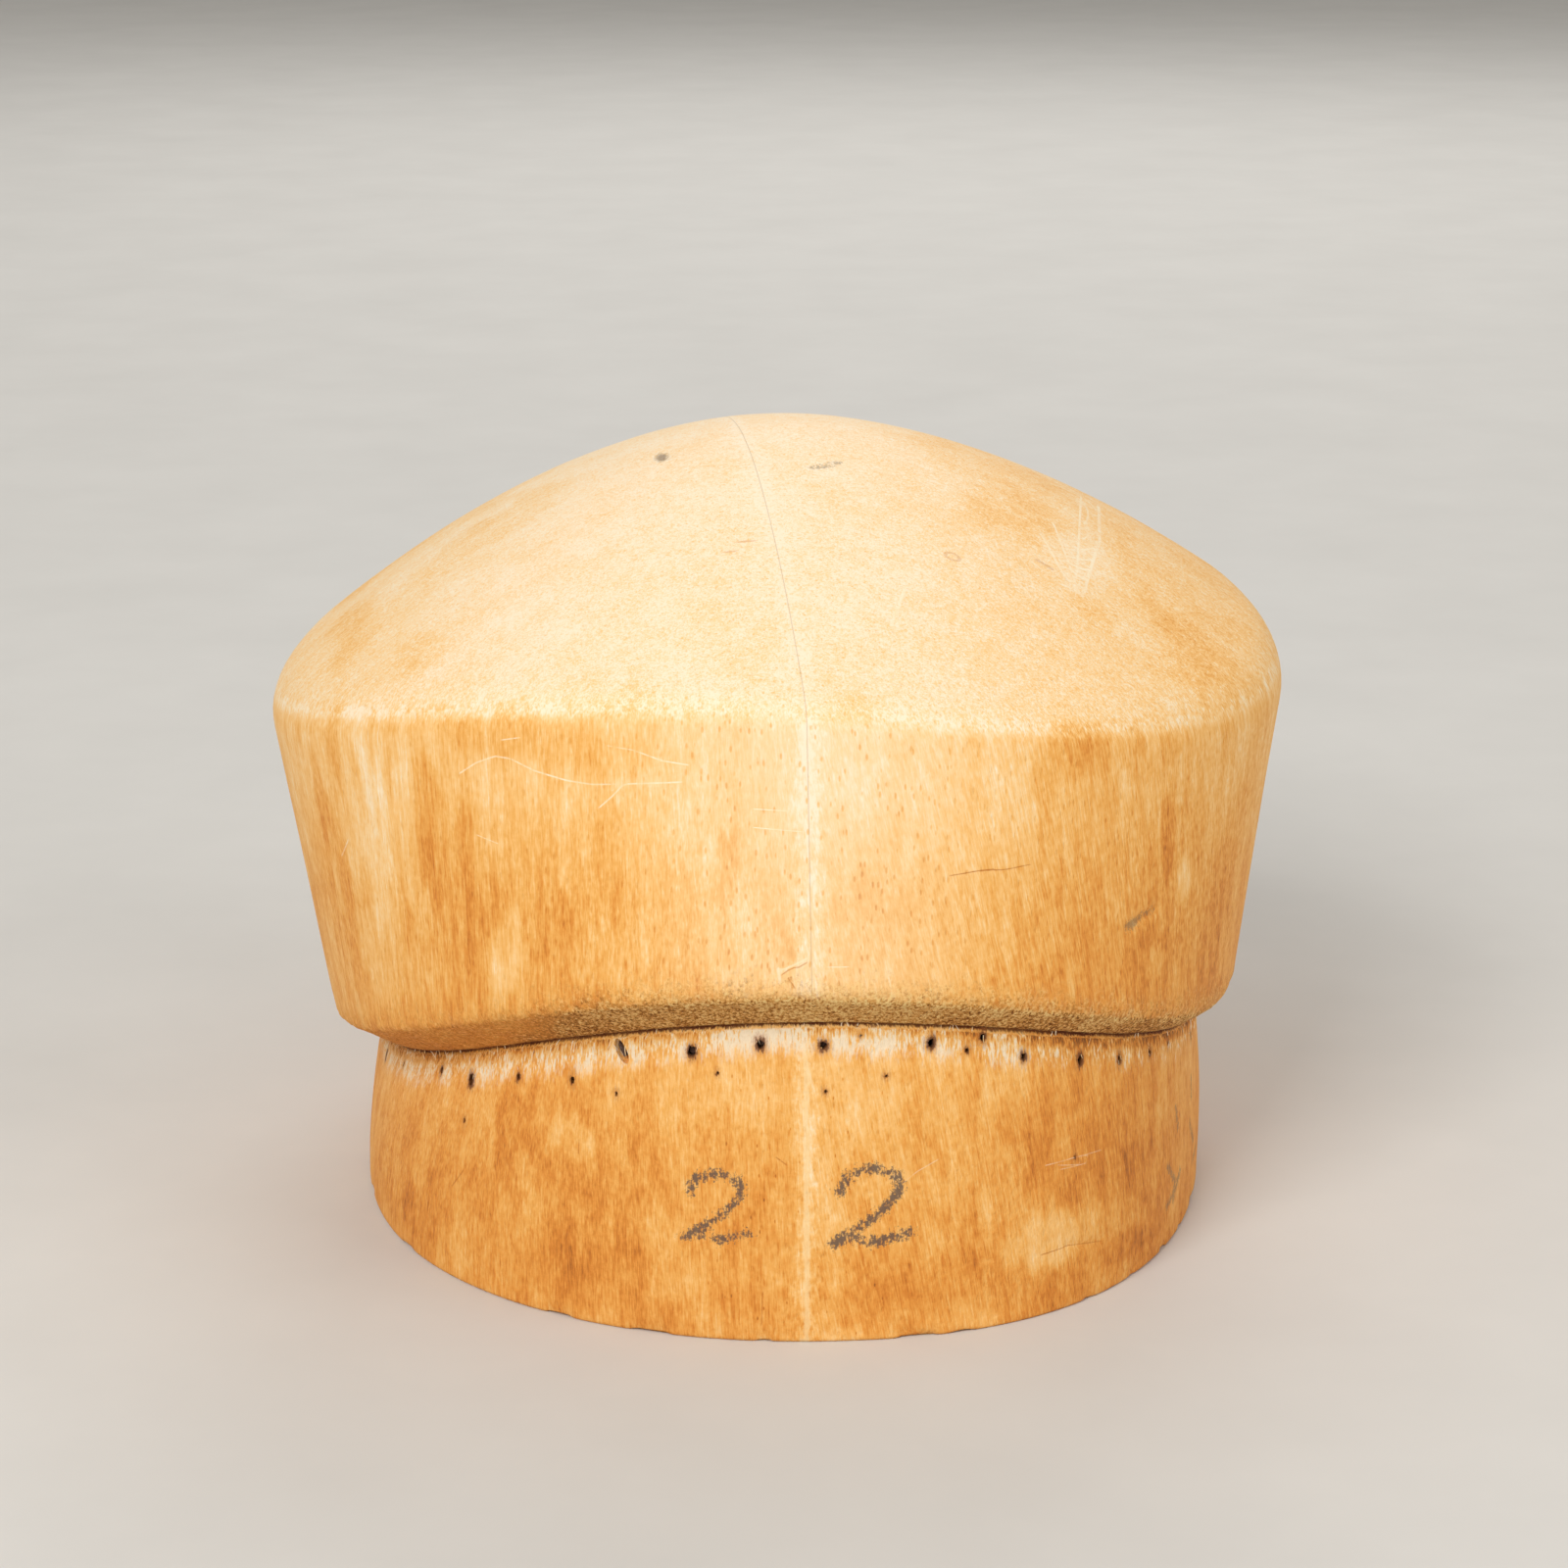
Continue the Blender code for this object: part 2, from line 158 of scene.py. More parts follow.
# Tones of the wood before its patches: 0 is bleached and 1 is dark brown. It is paler near the seam, over a
# stretch given in millimetres, partly as paler wood and partly as a painted highlight.
COLLAR_TONE = 0.52
BAND_TONE = 0.43
# The top's pale tone is partly the wood's own and partly painted sheen and light from above
DOME_TONE_AND_SHEEN = 0.06
NEAR_SEAM_MIDDLE = -3
NEAR_SEAM_HALF_WIDTH = 26

# Broad patches of the worn surface: degrees, height, half width, half height in millimetres, change of tone.
# Below zero is paler and above zero is browner. The back is worn much like the front.
PATCHES = (
    (-57, 80, 9, 28, -0.1), (-50, 86, 3.2, 17, -0.09), (-56, 60, 9, 9, -0.06), (-46, 88, 4.5, 14, 0.14),
    (-68, 84, 3.2, 14, 0.15), (-62, 97, 3, 10, 0.12), (-40, 68, 3.2, 12, 0.1), (-36, 67, 4, 8, -0.18),
    (-27, 73, 11, 13, 0.03), (-32, 106, 20, 4.5, 0.09), (-12, 90, 2.6, 6, 0.12), (-58, 92, 2, 9, 0.14),
    (-24, 62, 9, 4, 0.1), (-14, 62, 5, 4, 0.1), (-41, 86, 3, 12, 0.06), (-37, 74, 3, 8, 0.08),
    (-64, 74, 3, 12, 0.12), (29, 102, 12, 6, 0.1), (39, 83, 2, 8, 0.16), (43, 73, 4, 4, -0.18),
    (35, 60, 5, 7, 0.12), (37, 60, 2.6, 3, -0.16), (26, 61, 2, 6, 0.12), (22, 86, 4, 13, 0.09),
    (14, 66, 6, 6, 0.06), (-27, 10, 14, 8, 0.09), (-38, 30, 7, 8, 0.07), (-31, 34, 5.5, 4, -0.12),
    (-35, 38, 12, 5, 0.05), (-23, 25, 9, 8, 0.06), (-58, 8, 7, 5, 0.12), (4, 10, 15, 7, 0.13),
    (-6, 5, 12, 5, 0.06), (13, 17, 2.6, 5, 0.12), (23, 14, 11, 6, -0.26), (33, 25, 13, 12, 0.07),
    (33, 7, 9, 4, 0.14), (3, 41, 11, 5, -0.03), (-6, 74, 2.2, 4, 0.1),
)

# Patches of the crown's top, seen from above: x, y, half width, half depth in millimetres, change of tone
TOP_PATCHES = (
    (-57, -13, 12, 11, 0.08), (-47, -3, 8, 5, 0.08), (-81, -9, 4, 13, 0.12), (-79, 22, 5, 12, 0.08),
    (-71, -49, 5, 7, 0.09), (-80, -27, 4, 8, 0.08), (38, -31, 7, 8, 0.09), (46, -22, 6, 9, 0.07),
    (68, -47, 9, 11, 0.08), (49, -55, 4, 5, 0.07), (1, -93, 4, 3, 0.06), (-37, -88, 7, 4, 0.06),
    (62, -30, 16, 30, 0.05), (50, -36, 8, 12, -0.06), (42, 5, 16, 20, 0.07), (-60, 30, 16, 22, 0.1),
    (64, 34, 15, 24, 0.11), (10, 60, 20, 14, 0.05), (53, -24, 6, 20, -0.07),
)

# Marks: half width in millimetres, then a line of points in degrees and millimetres of height
PALE_SCRATCHES = (
    (0.13, (-41.5, 98.5), (-39.4, 100.9), (-37.1, 102.6), (-35.3, 102.6), (-32.5, 101.1), (-28.8, 100.1),
     (-26.1, 99.9), (-21.9, 100.6), (-17.3, 101.3)),
    (0.12, (-24.3, 106.7), (-21.9, 106.3), (-19, 104.8), (-16.5, 104.3)),
    (0.1, (-36.1, 105.7), (-34.4, 106.4)),
    (0.08, (-53, 106.5), (-53.5, 100.3)),
    (0.1, (-39.3, 87.9), (-37.2, 87.3)),
    (0.08, (-9.6, 97.1), (-6.8, 96.8)),
    (0.08, (-9.6, 94), (-5.3, 93.3)),
    (0.09, (-2.6, 70.5), (-0.9, 70.4)),
    (0.32, (-7.4, 70), (-7.3, 68.2)),
    (0.16, (-6.8, 70.3), (-4.9, 71.9)),
    (0.07, (17.7, 103.8), (19.2, 106.9)),
    (0.16, (-64, 75.1), (-62, 78.6)),
    (0.13, (-25.2, 96.3), (-24, 98.2), (-22.7, 100.7)),
    (0.1, (4.7, 27.9), (6.9, 30.7), (9, 32.4)),
    (0.09, (22.1, 27.9), (25.5, 27.8), (29.9, 27.3)),
    (0.08, (24, 26.4), (27.4, 26)),
    (0.1, (141, 96), (150, 93), (158, 94.5)),
    (0.09, (-163, 84), (-158, 88), (-154, 95)),
    (0.09, (84, 72), (92, 76), (101, 75)),
    (0.08, (-99, 66), (-97, 74)),
)
DARK_SCRATCHES = (
    (0.1, (9.9, 84.3), (13, 84.5), (15.8, 84), (18.6, 84.1)),
    (0.16, (12.8, 84.5), (14.6, 84.3)),
    (0.14, (-49, 17.4), (-47.4, 20.5)),
    (0.3, (26.2, 27.9), (26.4, 27.3)),
    (0.12, (-29.7, 33), (-29.7, 31.1)),
    (0.13, (-6.9, 69.6), (-6.2, 70.5), (-5.6, 70.5), (-4.9, 71.2)),
    (0.12, (-6.6, 69), (-6, 67.4)),
    (0.12, (-7.5, 33.9), (-6.7, 32.9)),
    (0.14, (-9.1, 9), (-9.2, 3.5)),
    (0.1, (21.4, 11.6), (24.8, 11.8), (29.9, 10.2)),
    (0.12, (118, 82), (123, 80)),
    (0.12, (-128, 70), (-125, 78)),
)
SMUDGES = (
    (0.9, (32.3, 68.6), (34, 69.2)),
    (0.5, (34.2, 69.6), (36.6, 70)),
    (0.7, (46.2, 15.5), (49.1, 11), (48.5, 7.5)),
    (0.7, (45.7, 7.8), (49.2, 9.1), (51.7, 11.5)),
    (0.6, (59, 25.8), (59.2, 21.8)),
    (0.6, (49.6, 25.1), (50.5, 20.8)),
    (0.6, (57.6, 17.8), (61.1, 11.9)),
    (0.5, (64.5, 9), (61.1, 8)),
)

# Marks of the crown's top: half width, then points x and y, all in millimetres
TOP_PALE_SCRATCHES = (
    (0.3, (15.1, -60.5), (10, -73.5)),
    (0.28, (44.1, -33.6), (45.2, -42), (46.8, -48)),
    (0.24, (47.5, -26), (47.6, -38), (47.6, -48)),
    (0.34, (61.7, 1.9), (56.5, -24), (48.6, -48.2)),
    (0.24, (58.5, 3), (53.5, -20), (48.2, -44)),
    (0.2, (-30, 20), (-12, 34), (4, 39)),
)
TOP_DARK_SCRATCHES = (
    (0.45, (41.7, -43.2), (43, -43.8)),
)
TOP_SMUDGES = (
    (0.65, (2.5, -25.9), (5.2, -24.6), (8, -22.6)),
)

# Round marks of the crown's top: x, y, half width and half depth in millimetres
TOP_SPOT = (-23.2, -10.2, 1.5, 3.6)
TOP_RING = (24.2, -51.4, 1.4, 1.2)
TOP_DASHES = ((-12.8, -52.6, 2.6, 0.40), (-15.8, -55.3, 1.8, 0.36))

# Dents: depth and half width in millimetres, then points in degrees and millimetres of height
DENTS = (
    (0.45, 1.1, (32.3, 68.6), (34.6, 69.3), (37, 69.9)),
    (0.22, 1.2, (-7.8, 69.4), (-6.2, 72.2)),
    (0.22, 0.9, (-64, 75.1), (-62, 78.6)),
    (0.3, 0.9, (24.6, 11.8), (29.9, 10.2)),
    (0.55, 1.5, (5.6, 0.2), (8.4, 0)),
    (0.5, 1.3, (-152, 0.3), (-149, 0)),
    (0.35, 0.9, (148, 72), (151, 70)),
)
TOP_DENTS = (
    (0.35, 1.1, (-23.4, -7.8), (-23, -12.4)),
    (0.2, 0.8, (2.5, -25.9), (5.2, -24.6), (8, -22.6)),
)

# Loose fibres under the rope line, most round a few places in degrees. Each bends and thins in steps.
FIBRE_COUNT = 520
FIBRE_LENGTH = 0.0020
FIBRE_HALF_WIDTH = 0.00010
FIBRE_STEPS = ((0, 1), (0.1, 0.9), (0.25, 0.7), (0.45, 0.4))
FIBRE_PLACES = (-8, -24, -48, -48, 20, 40, 75)
FIBRE_SPREAD = 12
FIBRE_ROOT = 0.0002
FIBRE_LIFT = (0.03, 0.25)
FIBRE_WIDTHS = (0.6, 1.4)
FIBRE_LENGTHS = (0.35, 1.3)

# A plain number in wax crayon: each figure's ends in degrees, and its foot and head in millimetres
FIGURES = ((-17.5, -10.5, 18.5, 31), (-2, 6, 18, 32))
FIGURE_STROKE = (
    (0.02, 0.7), (0.12, 0.92), (0.42, 1), (0.74, 0.88), (0.8, 0.68), (0.62, 0.44),
    (0.3, 0.2), (0.02, 0.02), (0.26, 0.08), (0.55, 0.03), (1, 0.12),
)
FIGURE_HALF_WIDTHS = (0.00072, 0.00082)
FIGURE_SLANT = 0.12

# Steps from point to point of a mark's line, the block's middle, and a distance that is off every mark
STROKE_STEPS = 4
MIDDLE = np.array((0, 0, 0.05))
FAR = 0.006

CAMERA_PLACE = (-0.09251, -0.71819, 0.28209)
CAMERA_PITCH = 16.08
CAMERA_YAW = -7.41
CAMERA_LENS = 90
SENSOR_WIDTH = 36

# Studio: floor, and lamps with their size, power and place
FLOOR_RADIUS = 3.0
CURVE_RADIUS = 0.9
CURVE_STEPS = 10
LAMPS = (
    ("key", 0.9, 27, (-0.95, -1.4, 1.35)),
    ("fill", 1.2, 10, (1.5, -1.1, 0.9)),
    ("back", 1.2, 12, (0.4, 1.7, 1.3)),
)
LAMP_TARGET = Vector((0, 0, 0.07))
SKY_STRENGTH = 0.45


def select_only(item):
    bpy.ops.object.select_all(action="DESELECT")
    item.select_set(True)
    bpy.context.view_layer.objects.active = item


def blend(side, end, angle):
    """The value at an angle, between the sides' value and the value at the front and the back."""
    return side + (end - side) * np.cos(angle) ** 2


def front_twist(angle):
    return np.sin(2 * angle) * (1 + np.cos(angle)) / 2


def oval_radius(angle, half_width, half_length, power):
    across = np.abs(np.sin(angle) / half_width) ** power
    along = np.abs(np.cos(angle) / half_length) ** power
    return (across + along) ** (-1 / power)


def side_share(angle, side):
    """Share of what only one side has: side is -1 for the left and 1 for the right."""
    return np.maximum(0, side * np.sin(angle)) ** 2


def right_swell(angle, height_share):
    rise = np.sin(np.pi * (height_share + SWELL_START) / (1 + SWELL_START))
    return RIGHT_SWELL * side_share(angle, 1) ** SWELL_SHARPNESS * rise


def rope_line(angle):
    oval = oval_radius(angle, ROPE_HALF_WIDTH, ROPE_HALF_LENGTH, OVAL_POWER)
    radius = oval * (1 + COLLAR_TWIST * front_twist(angle)) - LEFT_PINCH * side_share(angle, -1)
    height = blend(ROPE_HEIGHT_SIDE, ROPE_HEIGHT_END, angle) + ROPE_QUARTER_DIP * np.sin(2 * angle) ** 2
    return np.array((radius, height + ROPE_LEAN * np.sin(angle) + ROPE_TWIST * front_twist(angle)))


def foot_radius(angle):
    oval = oval_radius(angle, FOOT_HALF_WIDTH, FOOT_HALF_LENGTH, FOOT_OVAL_POWER)
    ripple_share = np.sin(4 * angle) * (1 + np.cos(angle)) / 2
    return oval * (1 + FOOT_TWIST * front_twist(angle) + FOOT_RIPPLE * ripple_share)


def collar_point(angle, height):
    radius, rope_height = rope_line(angle)
    share = height / rope_height
    even = lerp(foot_radius(angle), radius, share ** COLLAR_ROUNDNESS)
    return np.array((even + right_swell(angle, share), height))


def rim_line(angle):
    radius, height = rope_line(angle)
    rise = blend(CHAMFER_RISE_SIDE, CHAMFER_RISE_END, angle) + CHAMFER_TWIST * front_twist(angle)
    reach = CHAMFER_REACH + LEFT_PINCH * side_share(angle, -1) + RIGHT_REACH * side_share(angle, 1)
    return np.array(((radius + reach) * (1 + CROWN_TWIST * front_twist(angle)), height + rise))


def ridge_line(angle):
    height = blend(RIDGE_HEIGHT_SIDE, RIDGE_HEIGHT_END, angle) + RIDGE_LEAN * np.sin(angle)
    flare = blend(BAND_FLARE_SIDE, BAND_FLARE_END, angle) - RIGHT_TUCK * side_share(angle, 1)
    return np.array((rim_line(angle)[0] + flare, height + RIDGE_TWIST * front_twist(angle)))


def dome_point(angle, share):
    radius, height = ridge_line(angle)
    return np.array((radius * share, height + (BLOCK_HEIGHT - height) * (1 - share ** DOME_POWER)))


def lerp(start, end, share):
    return start + (end - start) * share


def rounded(start, corner, end, steps):
    shares = [step / steps for step in range(steps + 1)]
    return [lerp(lerp(start, corner, share), lerp(corner, end, share), share) for share in shares]


def towards(start, end, distance):
    run = end - start
    return start + run * distance / np.hypot(*run)


def section(angle):
    """Rows of the block's half section at each angle, from the foot to the top, as radius and height."""
    rope = rope_line(angle)
    rim = rim_line(angle)
    ridge = ridge_line(angle)
    foot_edge = collar_point(angle, 0 * angle)
    foot_start = foot_edge - np.array((FOOT_ROUNDING + 0 * angle, 0 * angle))
    foot_end = collar_point(angle, FOOT_ROUNDING + 0 * angle)
    rows = rounded(foot_start, foot_edge, foot_end, FOOT_ROWS)
    heights = [lerp(FOOT_ROUNDING, rope[1], step / COLLAR_ROWS) for step in range(1, COLLAR_ROWS)]
    rows += [collar_point(angle, height) for height in heights]
    rim_rounding = RIM_ROUNDING * (1 - LEFT_CRISPNESS * side_share(angle, -1))
    chamfer_end = towards(rim, rope, rim_rounding)
    rows += [lerp(rope, chamfer_end, step / CHAMFER_ROWS) for step in range(CHAMFER_ROWS)]
    band_foot = towards(rim, ridge, rim_rounding)
    rows += rounded(chamfer_end, rim, band_foot, RIM_ROWS)
    rounding = blend(RIDGE_ROUNDING_SIDE, RIDGE_ROUNDING_END, angle)
    band_head = towards(ridge, rim, rounding)
    rows += [lerp(band_foot, band_head, step / BAND_ROWS) for step in range(1, BAND_ROWS)]
    dome_edge = 1 - rounding / ridge[0]
    rows += rounded(band_head, ridge, dome_point(angle, dome_edge), RIDGE_ROWS)
    rows += [dome_point(angle, dome_edge * (1 - step / DOME_ROWS)) for step in range(1, DOME_ROWS + 1)]
    return rows


def in_space(angle, radius, height):
    return np.stack((radius * np.sin(angle), -radius * np.cos(angle), height + 0 * angle), axis=-1)


def read_points(mesh, kind="co"):
    """Places of the mesh's points, or their normals."""
    values = np.zeros(3 * len(mesh.vertices))
    mesh.vertices.foreach_get(kind, values)
    return values.reshape(-1, 3)


def write_points(mesh, points):
    mesh.vertices.foreach_set("co", points.astype(np.float32).ravel())
    mesh.update()


def levels_at(points):
    """Angle, level and depth under the carved surface of each point."""
    angle = np.arctan2(points[:, 0], -points[:, 1])
    radius = np.hypot(points[:, 0], points[:, 1])
    height = points[:, 2]
    rope, rim, ridge = rope_line(angle), rim_line(angle), ridge_line(angle)
    on_collar = height / rope[1]
    on_chamfer = 1 + (height - rope[1]) / (rim[1] - rope[1])
    on_band = 2 + (height - rim[1]) / (ridge[1] - rim[1])
    on_dome = 4 - np.clip(radius / ridge[0], 0, 1)
    level = np.select((on_collar < 1, on_chamfer < 2, on_band < 3), (on_collar, on_chamfer, on_band), on_dome)
    collar = collar_point(angle, np.clip(height, 0, rope[1]))[0]
    chamfer = lerp(rope[0], rim[0], level - 1)
    band = lerp(rim[0], ridge[0], np.clip(level - 2, 0, 1))
    surface = np.select((level < 1, level < 2), (collar, chamfer), band)
    depth = np.where(level < 3, surface - radius, 0)
    return angle, level, depth


def ripple(points, size, seed=0):
    """Smooth noise from -1 to 1 at each point. Size is the length of a ripple, or three for X, Y and Z."""
    scaled = points / np.array(size) + seed * 17.3
    return np.array([noise.noise(place) for place in scaled.tolist()])


def bump_at(value, middle, half_width):
    return np.exp(-((value - middle) / half_width) ** 2)


def smooth_step(value, low, high):
    share = np.clip((value - low) / (high - low), 0, 1)
    return share * share * (3 - 2 * share)


def edit_all():
    bpy.ops.object.mode_set(mode="EDIT")
    bpy.ops.mesh.select_all(action="SELECT")


def select_open_edges():
    bpy.ops.mesh.select_all(action="DESELECT")
    bpy.ops.mesh.select_mode(type="EDGE")
    bpy.ops.mesh.select_non_manifold()


def end_edit():
    bpy.ops.object.mode_set(mode="OBJECT")
    bpy.ops.object.shade_smooth()


def carved_block():
    """A flat grid wrapped round the block, then closed at the top, at the back and at the foot."""
    angle = np.linspace(-math.pi, math.pi, COLUMNS + 1)
    rows = section(angle)
    bpy.ops.object.select_all(action="DESELECT")
    bpy.ops.mesh.primitive_grid_add(x_subdivisions=COLUMNS, y_subdivisions=len(rows) - 1, size=1)
    block = bpy.context.object
    block.name = "carved_block"
    write_points(block.data, np.array([in_space(angle, *row) for row in rows]).reshape(-1, 3))
    edit_all()
    bpy.ops.mesh.remove_doubles(threshold=0.000001)
    select_open_edges()
    bpy.ops.mesh.edge_face_add()
    end_edit()
    return block


def weather(block):
    """Unevenness of the carving, raw chamfer, torn wood under the rope line, nicks at the foot and dents."""
    mesh = block.data
    points = read_points(mesh)
    angle, level, _ = levels_at(points)
    rope_height = rope_line(angle)[1]
    drop = rope_height - points[:, 2]
    off_foot = smooth_step(points[:, 2], 0.0, 0.004)
    move = SWAY * ripple(points, 0.045) * off_foot
    move += TOOL_MARKS * ripple(points, (0.009, 0.009, 0.016), 1) * off_foot
    torn = smooth_step(drop, -0.0002, 0.0006) * (1 - smooth_step(drop, 0.0020, 0.0075))
    move += TORN_ROUGHNESS * torn * ripple(points, (0.0011, 0.0011, 0.0060), 2)
    chamfer = smooth_step(level, 1.0, 1.15) * (1 - smooth_step(level, 1.9, 2.06))
    move += CHAMFER_ROUGHNESS * chamfer * ripple(points, 0.0014, 3)
    rim = bump_at(level, 2.0, 0.05)
    move += RIM_WEAR * rim * (ripple(points, 0.0035, 4) - 0.4)
    move -= CREASE_DEPTH * bump_at(points[:, 2] - rope_height, 0, 0.0005)
    nicks = bump_at(level, 0.0, 0.04) * smooth_step(ripple(points, 0.006, 5), 0.25, 0.5)
    move -= NICK_DEPTH * nicks
    for (depth, half_width), stroke in strokes_of(DENTS, TOP_DENTS, 2):
        off_middle = 1000 * stroke_distance(points, stroke) / half_width
        move -= depth / 1000 * (1 - smooth_step(off_middle, 0.2, 1.0))
    write_points(mesh, points + read_points(mesh, "normal") * move[:, None])


def applied():
    """The active object, with its place, turn and size moved into its mesh."""
    bpy.ops.object.transform_apply(location=True, rotation=True, scale=True)
    return bpy.context.object


def cut(piece, cutter, operation="DIFFERENCE"):
    """Cuts the piece and takes the cutter away."""
    select_only(piece)
    modifier = piece.modifiers.new(cutter.name, "BOOLEAN")
    modifier.operation = operation
    modifier.solver = "EXACT"
    modifier.object = cutter
    bpy.ops.object.modifier_apply(modifier=modifier.name)
    bpy.data.objects.remove(cutter)


def copied(item):
    """A copy with a mesh of its own."""
    copy = item.copy()
    copy.data = item.data.copy()
    bpy.context.scene.collection.objects.link(copy)
    return copy


def joined(pieces, name):
    select_only(pieces[0])
    for piece in pieces:
        piece.select_set(True)
    bpy.ops.object.join()
    bpy.context.object.name = name
    return bpy.context.object


def collar_place(degrees, drop):
    """Point of the collar below the rope line, and the outward direction there."""
    angle = math.radians(degrees)
    height = rope_line(angle)[1] - drop
    place = Vector(in_space(angle, *collar_point(angle, height)))
    return place, Vector((math.sin(angle), -math.cos(angle), 0))


def stretch_at(degrees):
    """How much taller than wide a pin hole has been torn: most at the sides."""
    return PIN_HOLE_STRETCH + SIDE_STRETCH * abs(math.sin(math.radians(degrees)))


def pin_hole_cutter():
    """Ragged holes that narrow inwards."""
    draw = random.Random(5)
    inner, outer = HOLE_TAPER
    cutters = []
    for half_turn, (degrees, drop, narrow_radius) in product(ENDS, PIN_HOLES):
        place, outward = collar_place(degrees + half_turn, drop)
        radius = HOLE_WIDENING * narrow_radius - HOLE_CLOSING
        middle = place + outward * (radius - PIN_HOLE_DEPTH / 2)
        bpy.ops.mesh.primitive_cone_add(vertices=14, radius1=radius * inner, radius2=radius * outer,
                                        depth=PIN_HOLE_DEPTH + 2 * radius, location=middle,
                                        rotation=outward.to_track_quat("Z", "Y").to_euler())
        cutter = applied()
        for vertex in cutter.data.vertices:
            offset = vertex.co - middle
            along = outward * offset.dot(outward)
            across = (offset - along) * draw.uniform(*HOLE_RAGGEDNESS)
            across.z *= stretch_at(degrees)
            vertex.co = middle + along + across
        cutters.append(cutter)
    return joined(cutters, "pin_hole_cutter")


def pocket_cutter():
    """Slanted oval pocket torn by the nail."""
    place, outward = collar_place(POCKET["angle"], POCKET["drop"])
    slant = Matrix.Rotation(math.radians(POCKET["tilt"]), 3, outward) @ Vector((0, 0, 1))
    turn = Matrix((outward.cross(slant), outward, slant)).transposed()
    bpy.ops.mesh.primitive_uv_sphere_add(segments=24, ring_count=16, radius=1, location=place,
                                         rotation=turn.to_euler(), scale=POCKET_SIZE)
    return applied()


def socket_cutter():
    reach = 0.005
    bpy.ops.mesh.primitive_cylinder_add(vertices=96, radius=SOCKET_RADIUS, depth=SOCKET_DEPTH + reach,
                                        location=(0, 0, (SOCKET_DEPTH - reach) / 2))
    return applied()


def dowel_bore_cutter():
    bores = []
    for sign, height in product((-1, 1), DOWEL_HEIGHTS):
        bpy.ops.mesh.primitive_cylinder_add(vertices=32, radius=DOWEL_BORE_RADIUS, depth=DOWEL_BORE_LENGTH,
                                            location=(SEAM_OFFSET, sign * DOWEL_SPREAD, height),
                                            rotation=(0, math.pi / 2, 0))
        bores.append(applied())
    return joined(bores, "dowel_bore_cutter")


def half_space(side):
    """Box over everything on one side of the seam: -1 left, 1 right."""
    reach = 0.3
    middle = SEAM_OFFSET + side * (SEAM_GAP + reach) / 2
    bpy.ops.mesh.primitive_cube_add(size=1, location=(middle, 0, 0), scale=(reach, 2 * reach, 2 * reach))
    return applied()


def make_halves():
    block = carved_block()
    weather(block)
    for cutter in (pin_hole_cutter(), pocket_cutter(), socket_cutter()):
        cut(block, cutter)
    halves = []
    for name, side in (("left_half_carved", -1), ("right_half_carved", 1)):
        half = copied(block)
        half.name = name
        cut(half, half_space(side), "INTERSECT")
        cut(half, dowel_bore_cutter())
        half.data.set_sharp_from_angle(angle=math.radians(SHARP_ANGLE))
        halves.append(half)
    bpy.data.objects.remove(block)
    return halves


def surface_point(degrees, height):
    """Point of the collar or the band at a height in millimetres."""
    angle = np.radians(degrees)
    height = height / 1000
    rope, rim, ridge = rope_line(angle), rim_line(angle), ridge_line(angle)
    collar = collar_point(angle, np.minimum(height, rope[1]))[0]
    band = lerp(rim[0], ridge[0], (height - rim[1]) / (ridge[1] - rim[1]))
    return in_space(angle, np.where(height < rope[1], collar, band), height)


def top_point(across, along):
    """Point of the crown's top, seen from above, from millimetres."""
    angle = np.arctan2(across, -along)
    share = np.hypot(across, along) / 1000 / ridge_line(angle)[0]
    return in_space(angle, *dome_point(angle, share))


def uncarved(points):
    """The points moved straight out to the even surface that the part's solids have."""
    angle, level, depth = levels_at(points)
    radius = np.hypot(points[:, 0], points[:, 1])
    on_side = in_space(angle, radius + depth, points[:, 2])
    return np.where((level < 3)[:, None], on_side, top_point(*(1000 * points.T[:2])))


def run_distance(points, start, end):
    """Distance of each point to the straight run between two points."""
    run = end - start
    share = np.clip((points - start) @ run / (run @ run), 0, 1)
    return np.linalg.norm(points - start - share[:, None] * run, axis=1)


def stroke_distance(points, stroke):
    """Distance of each point to a line through the stroke's points."""
    nearest = np.full(len(points), FAR)
    for start, end in zip(stroke, stroke[1:]):
        nearest = np.minimum(nearest, run_distance(points, start, end))
    return nearest


def stroke_on(place, line):
    """Close points along a line on the surface, so that the stroke through them follows it."""
    corners = np.array(line)
    steps = np.linspace(0, len(line) - 1, STROKE_STEPS * (len(line) - 1) + 1)
    first, second = (np.interp(steps, range(len(line)), column) for column in corners.T)
    return place(first, second)


def strokes_of(marks, top_marks, sizes=1):
    """The sizes and the stroke of each mark. A mark's row is its sizes and then its line."""
    for place, table in ((surface_point, marks), (top_point, top_marks)):
        for row in table:
            yield row[:sizes], stroke_on(place, row[sizes:])


def mark_distance(points, marks, top_marks):
    """Distance to the edge of the nearest mark, in millimetres and below zero on the mark."""
    nearest = np.full(len(points), FAR)
    for (half_width,), stroke in strokes_of(marks, top_marks):
        nearest = np.minimum(nearest, stroke_distance(points, stroke) - half_width / 1000)
    return 1000 * nearest


def scratch_offset(points, scratches, top_scratches):
    """Offset from the middle of the nearest scratch in half widths, and distance to it in millimetres.

    The offset has a sign, so that it runs evenly through zero between points further apart than a scratch.
    """
    nearest = np.full(len(points), FAR)
    offset = np.full(len(points), FAR)
    for (half_width,), stroke in strokes_of(scratches, top_scratches):
        for start, end in zip(stroke, stroke[1:]):
            distance = run_distance(points, start, end)
            sideways = np.cross(end - start, start - MIDDLE)
            signed = (points - start) @ sideways / np.linalg.norm(sideways) / (half_width / 1000)
            offset = np.where(distance < nearest, signed, offset)
            nearest = np.minimum(distance, nearest)
    return offset, 1000 * nearest


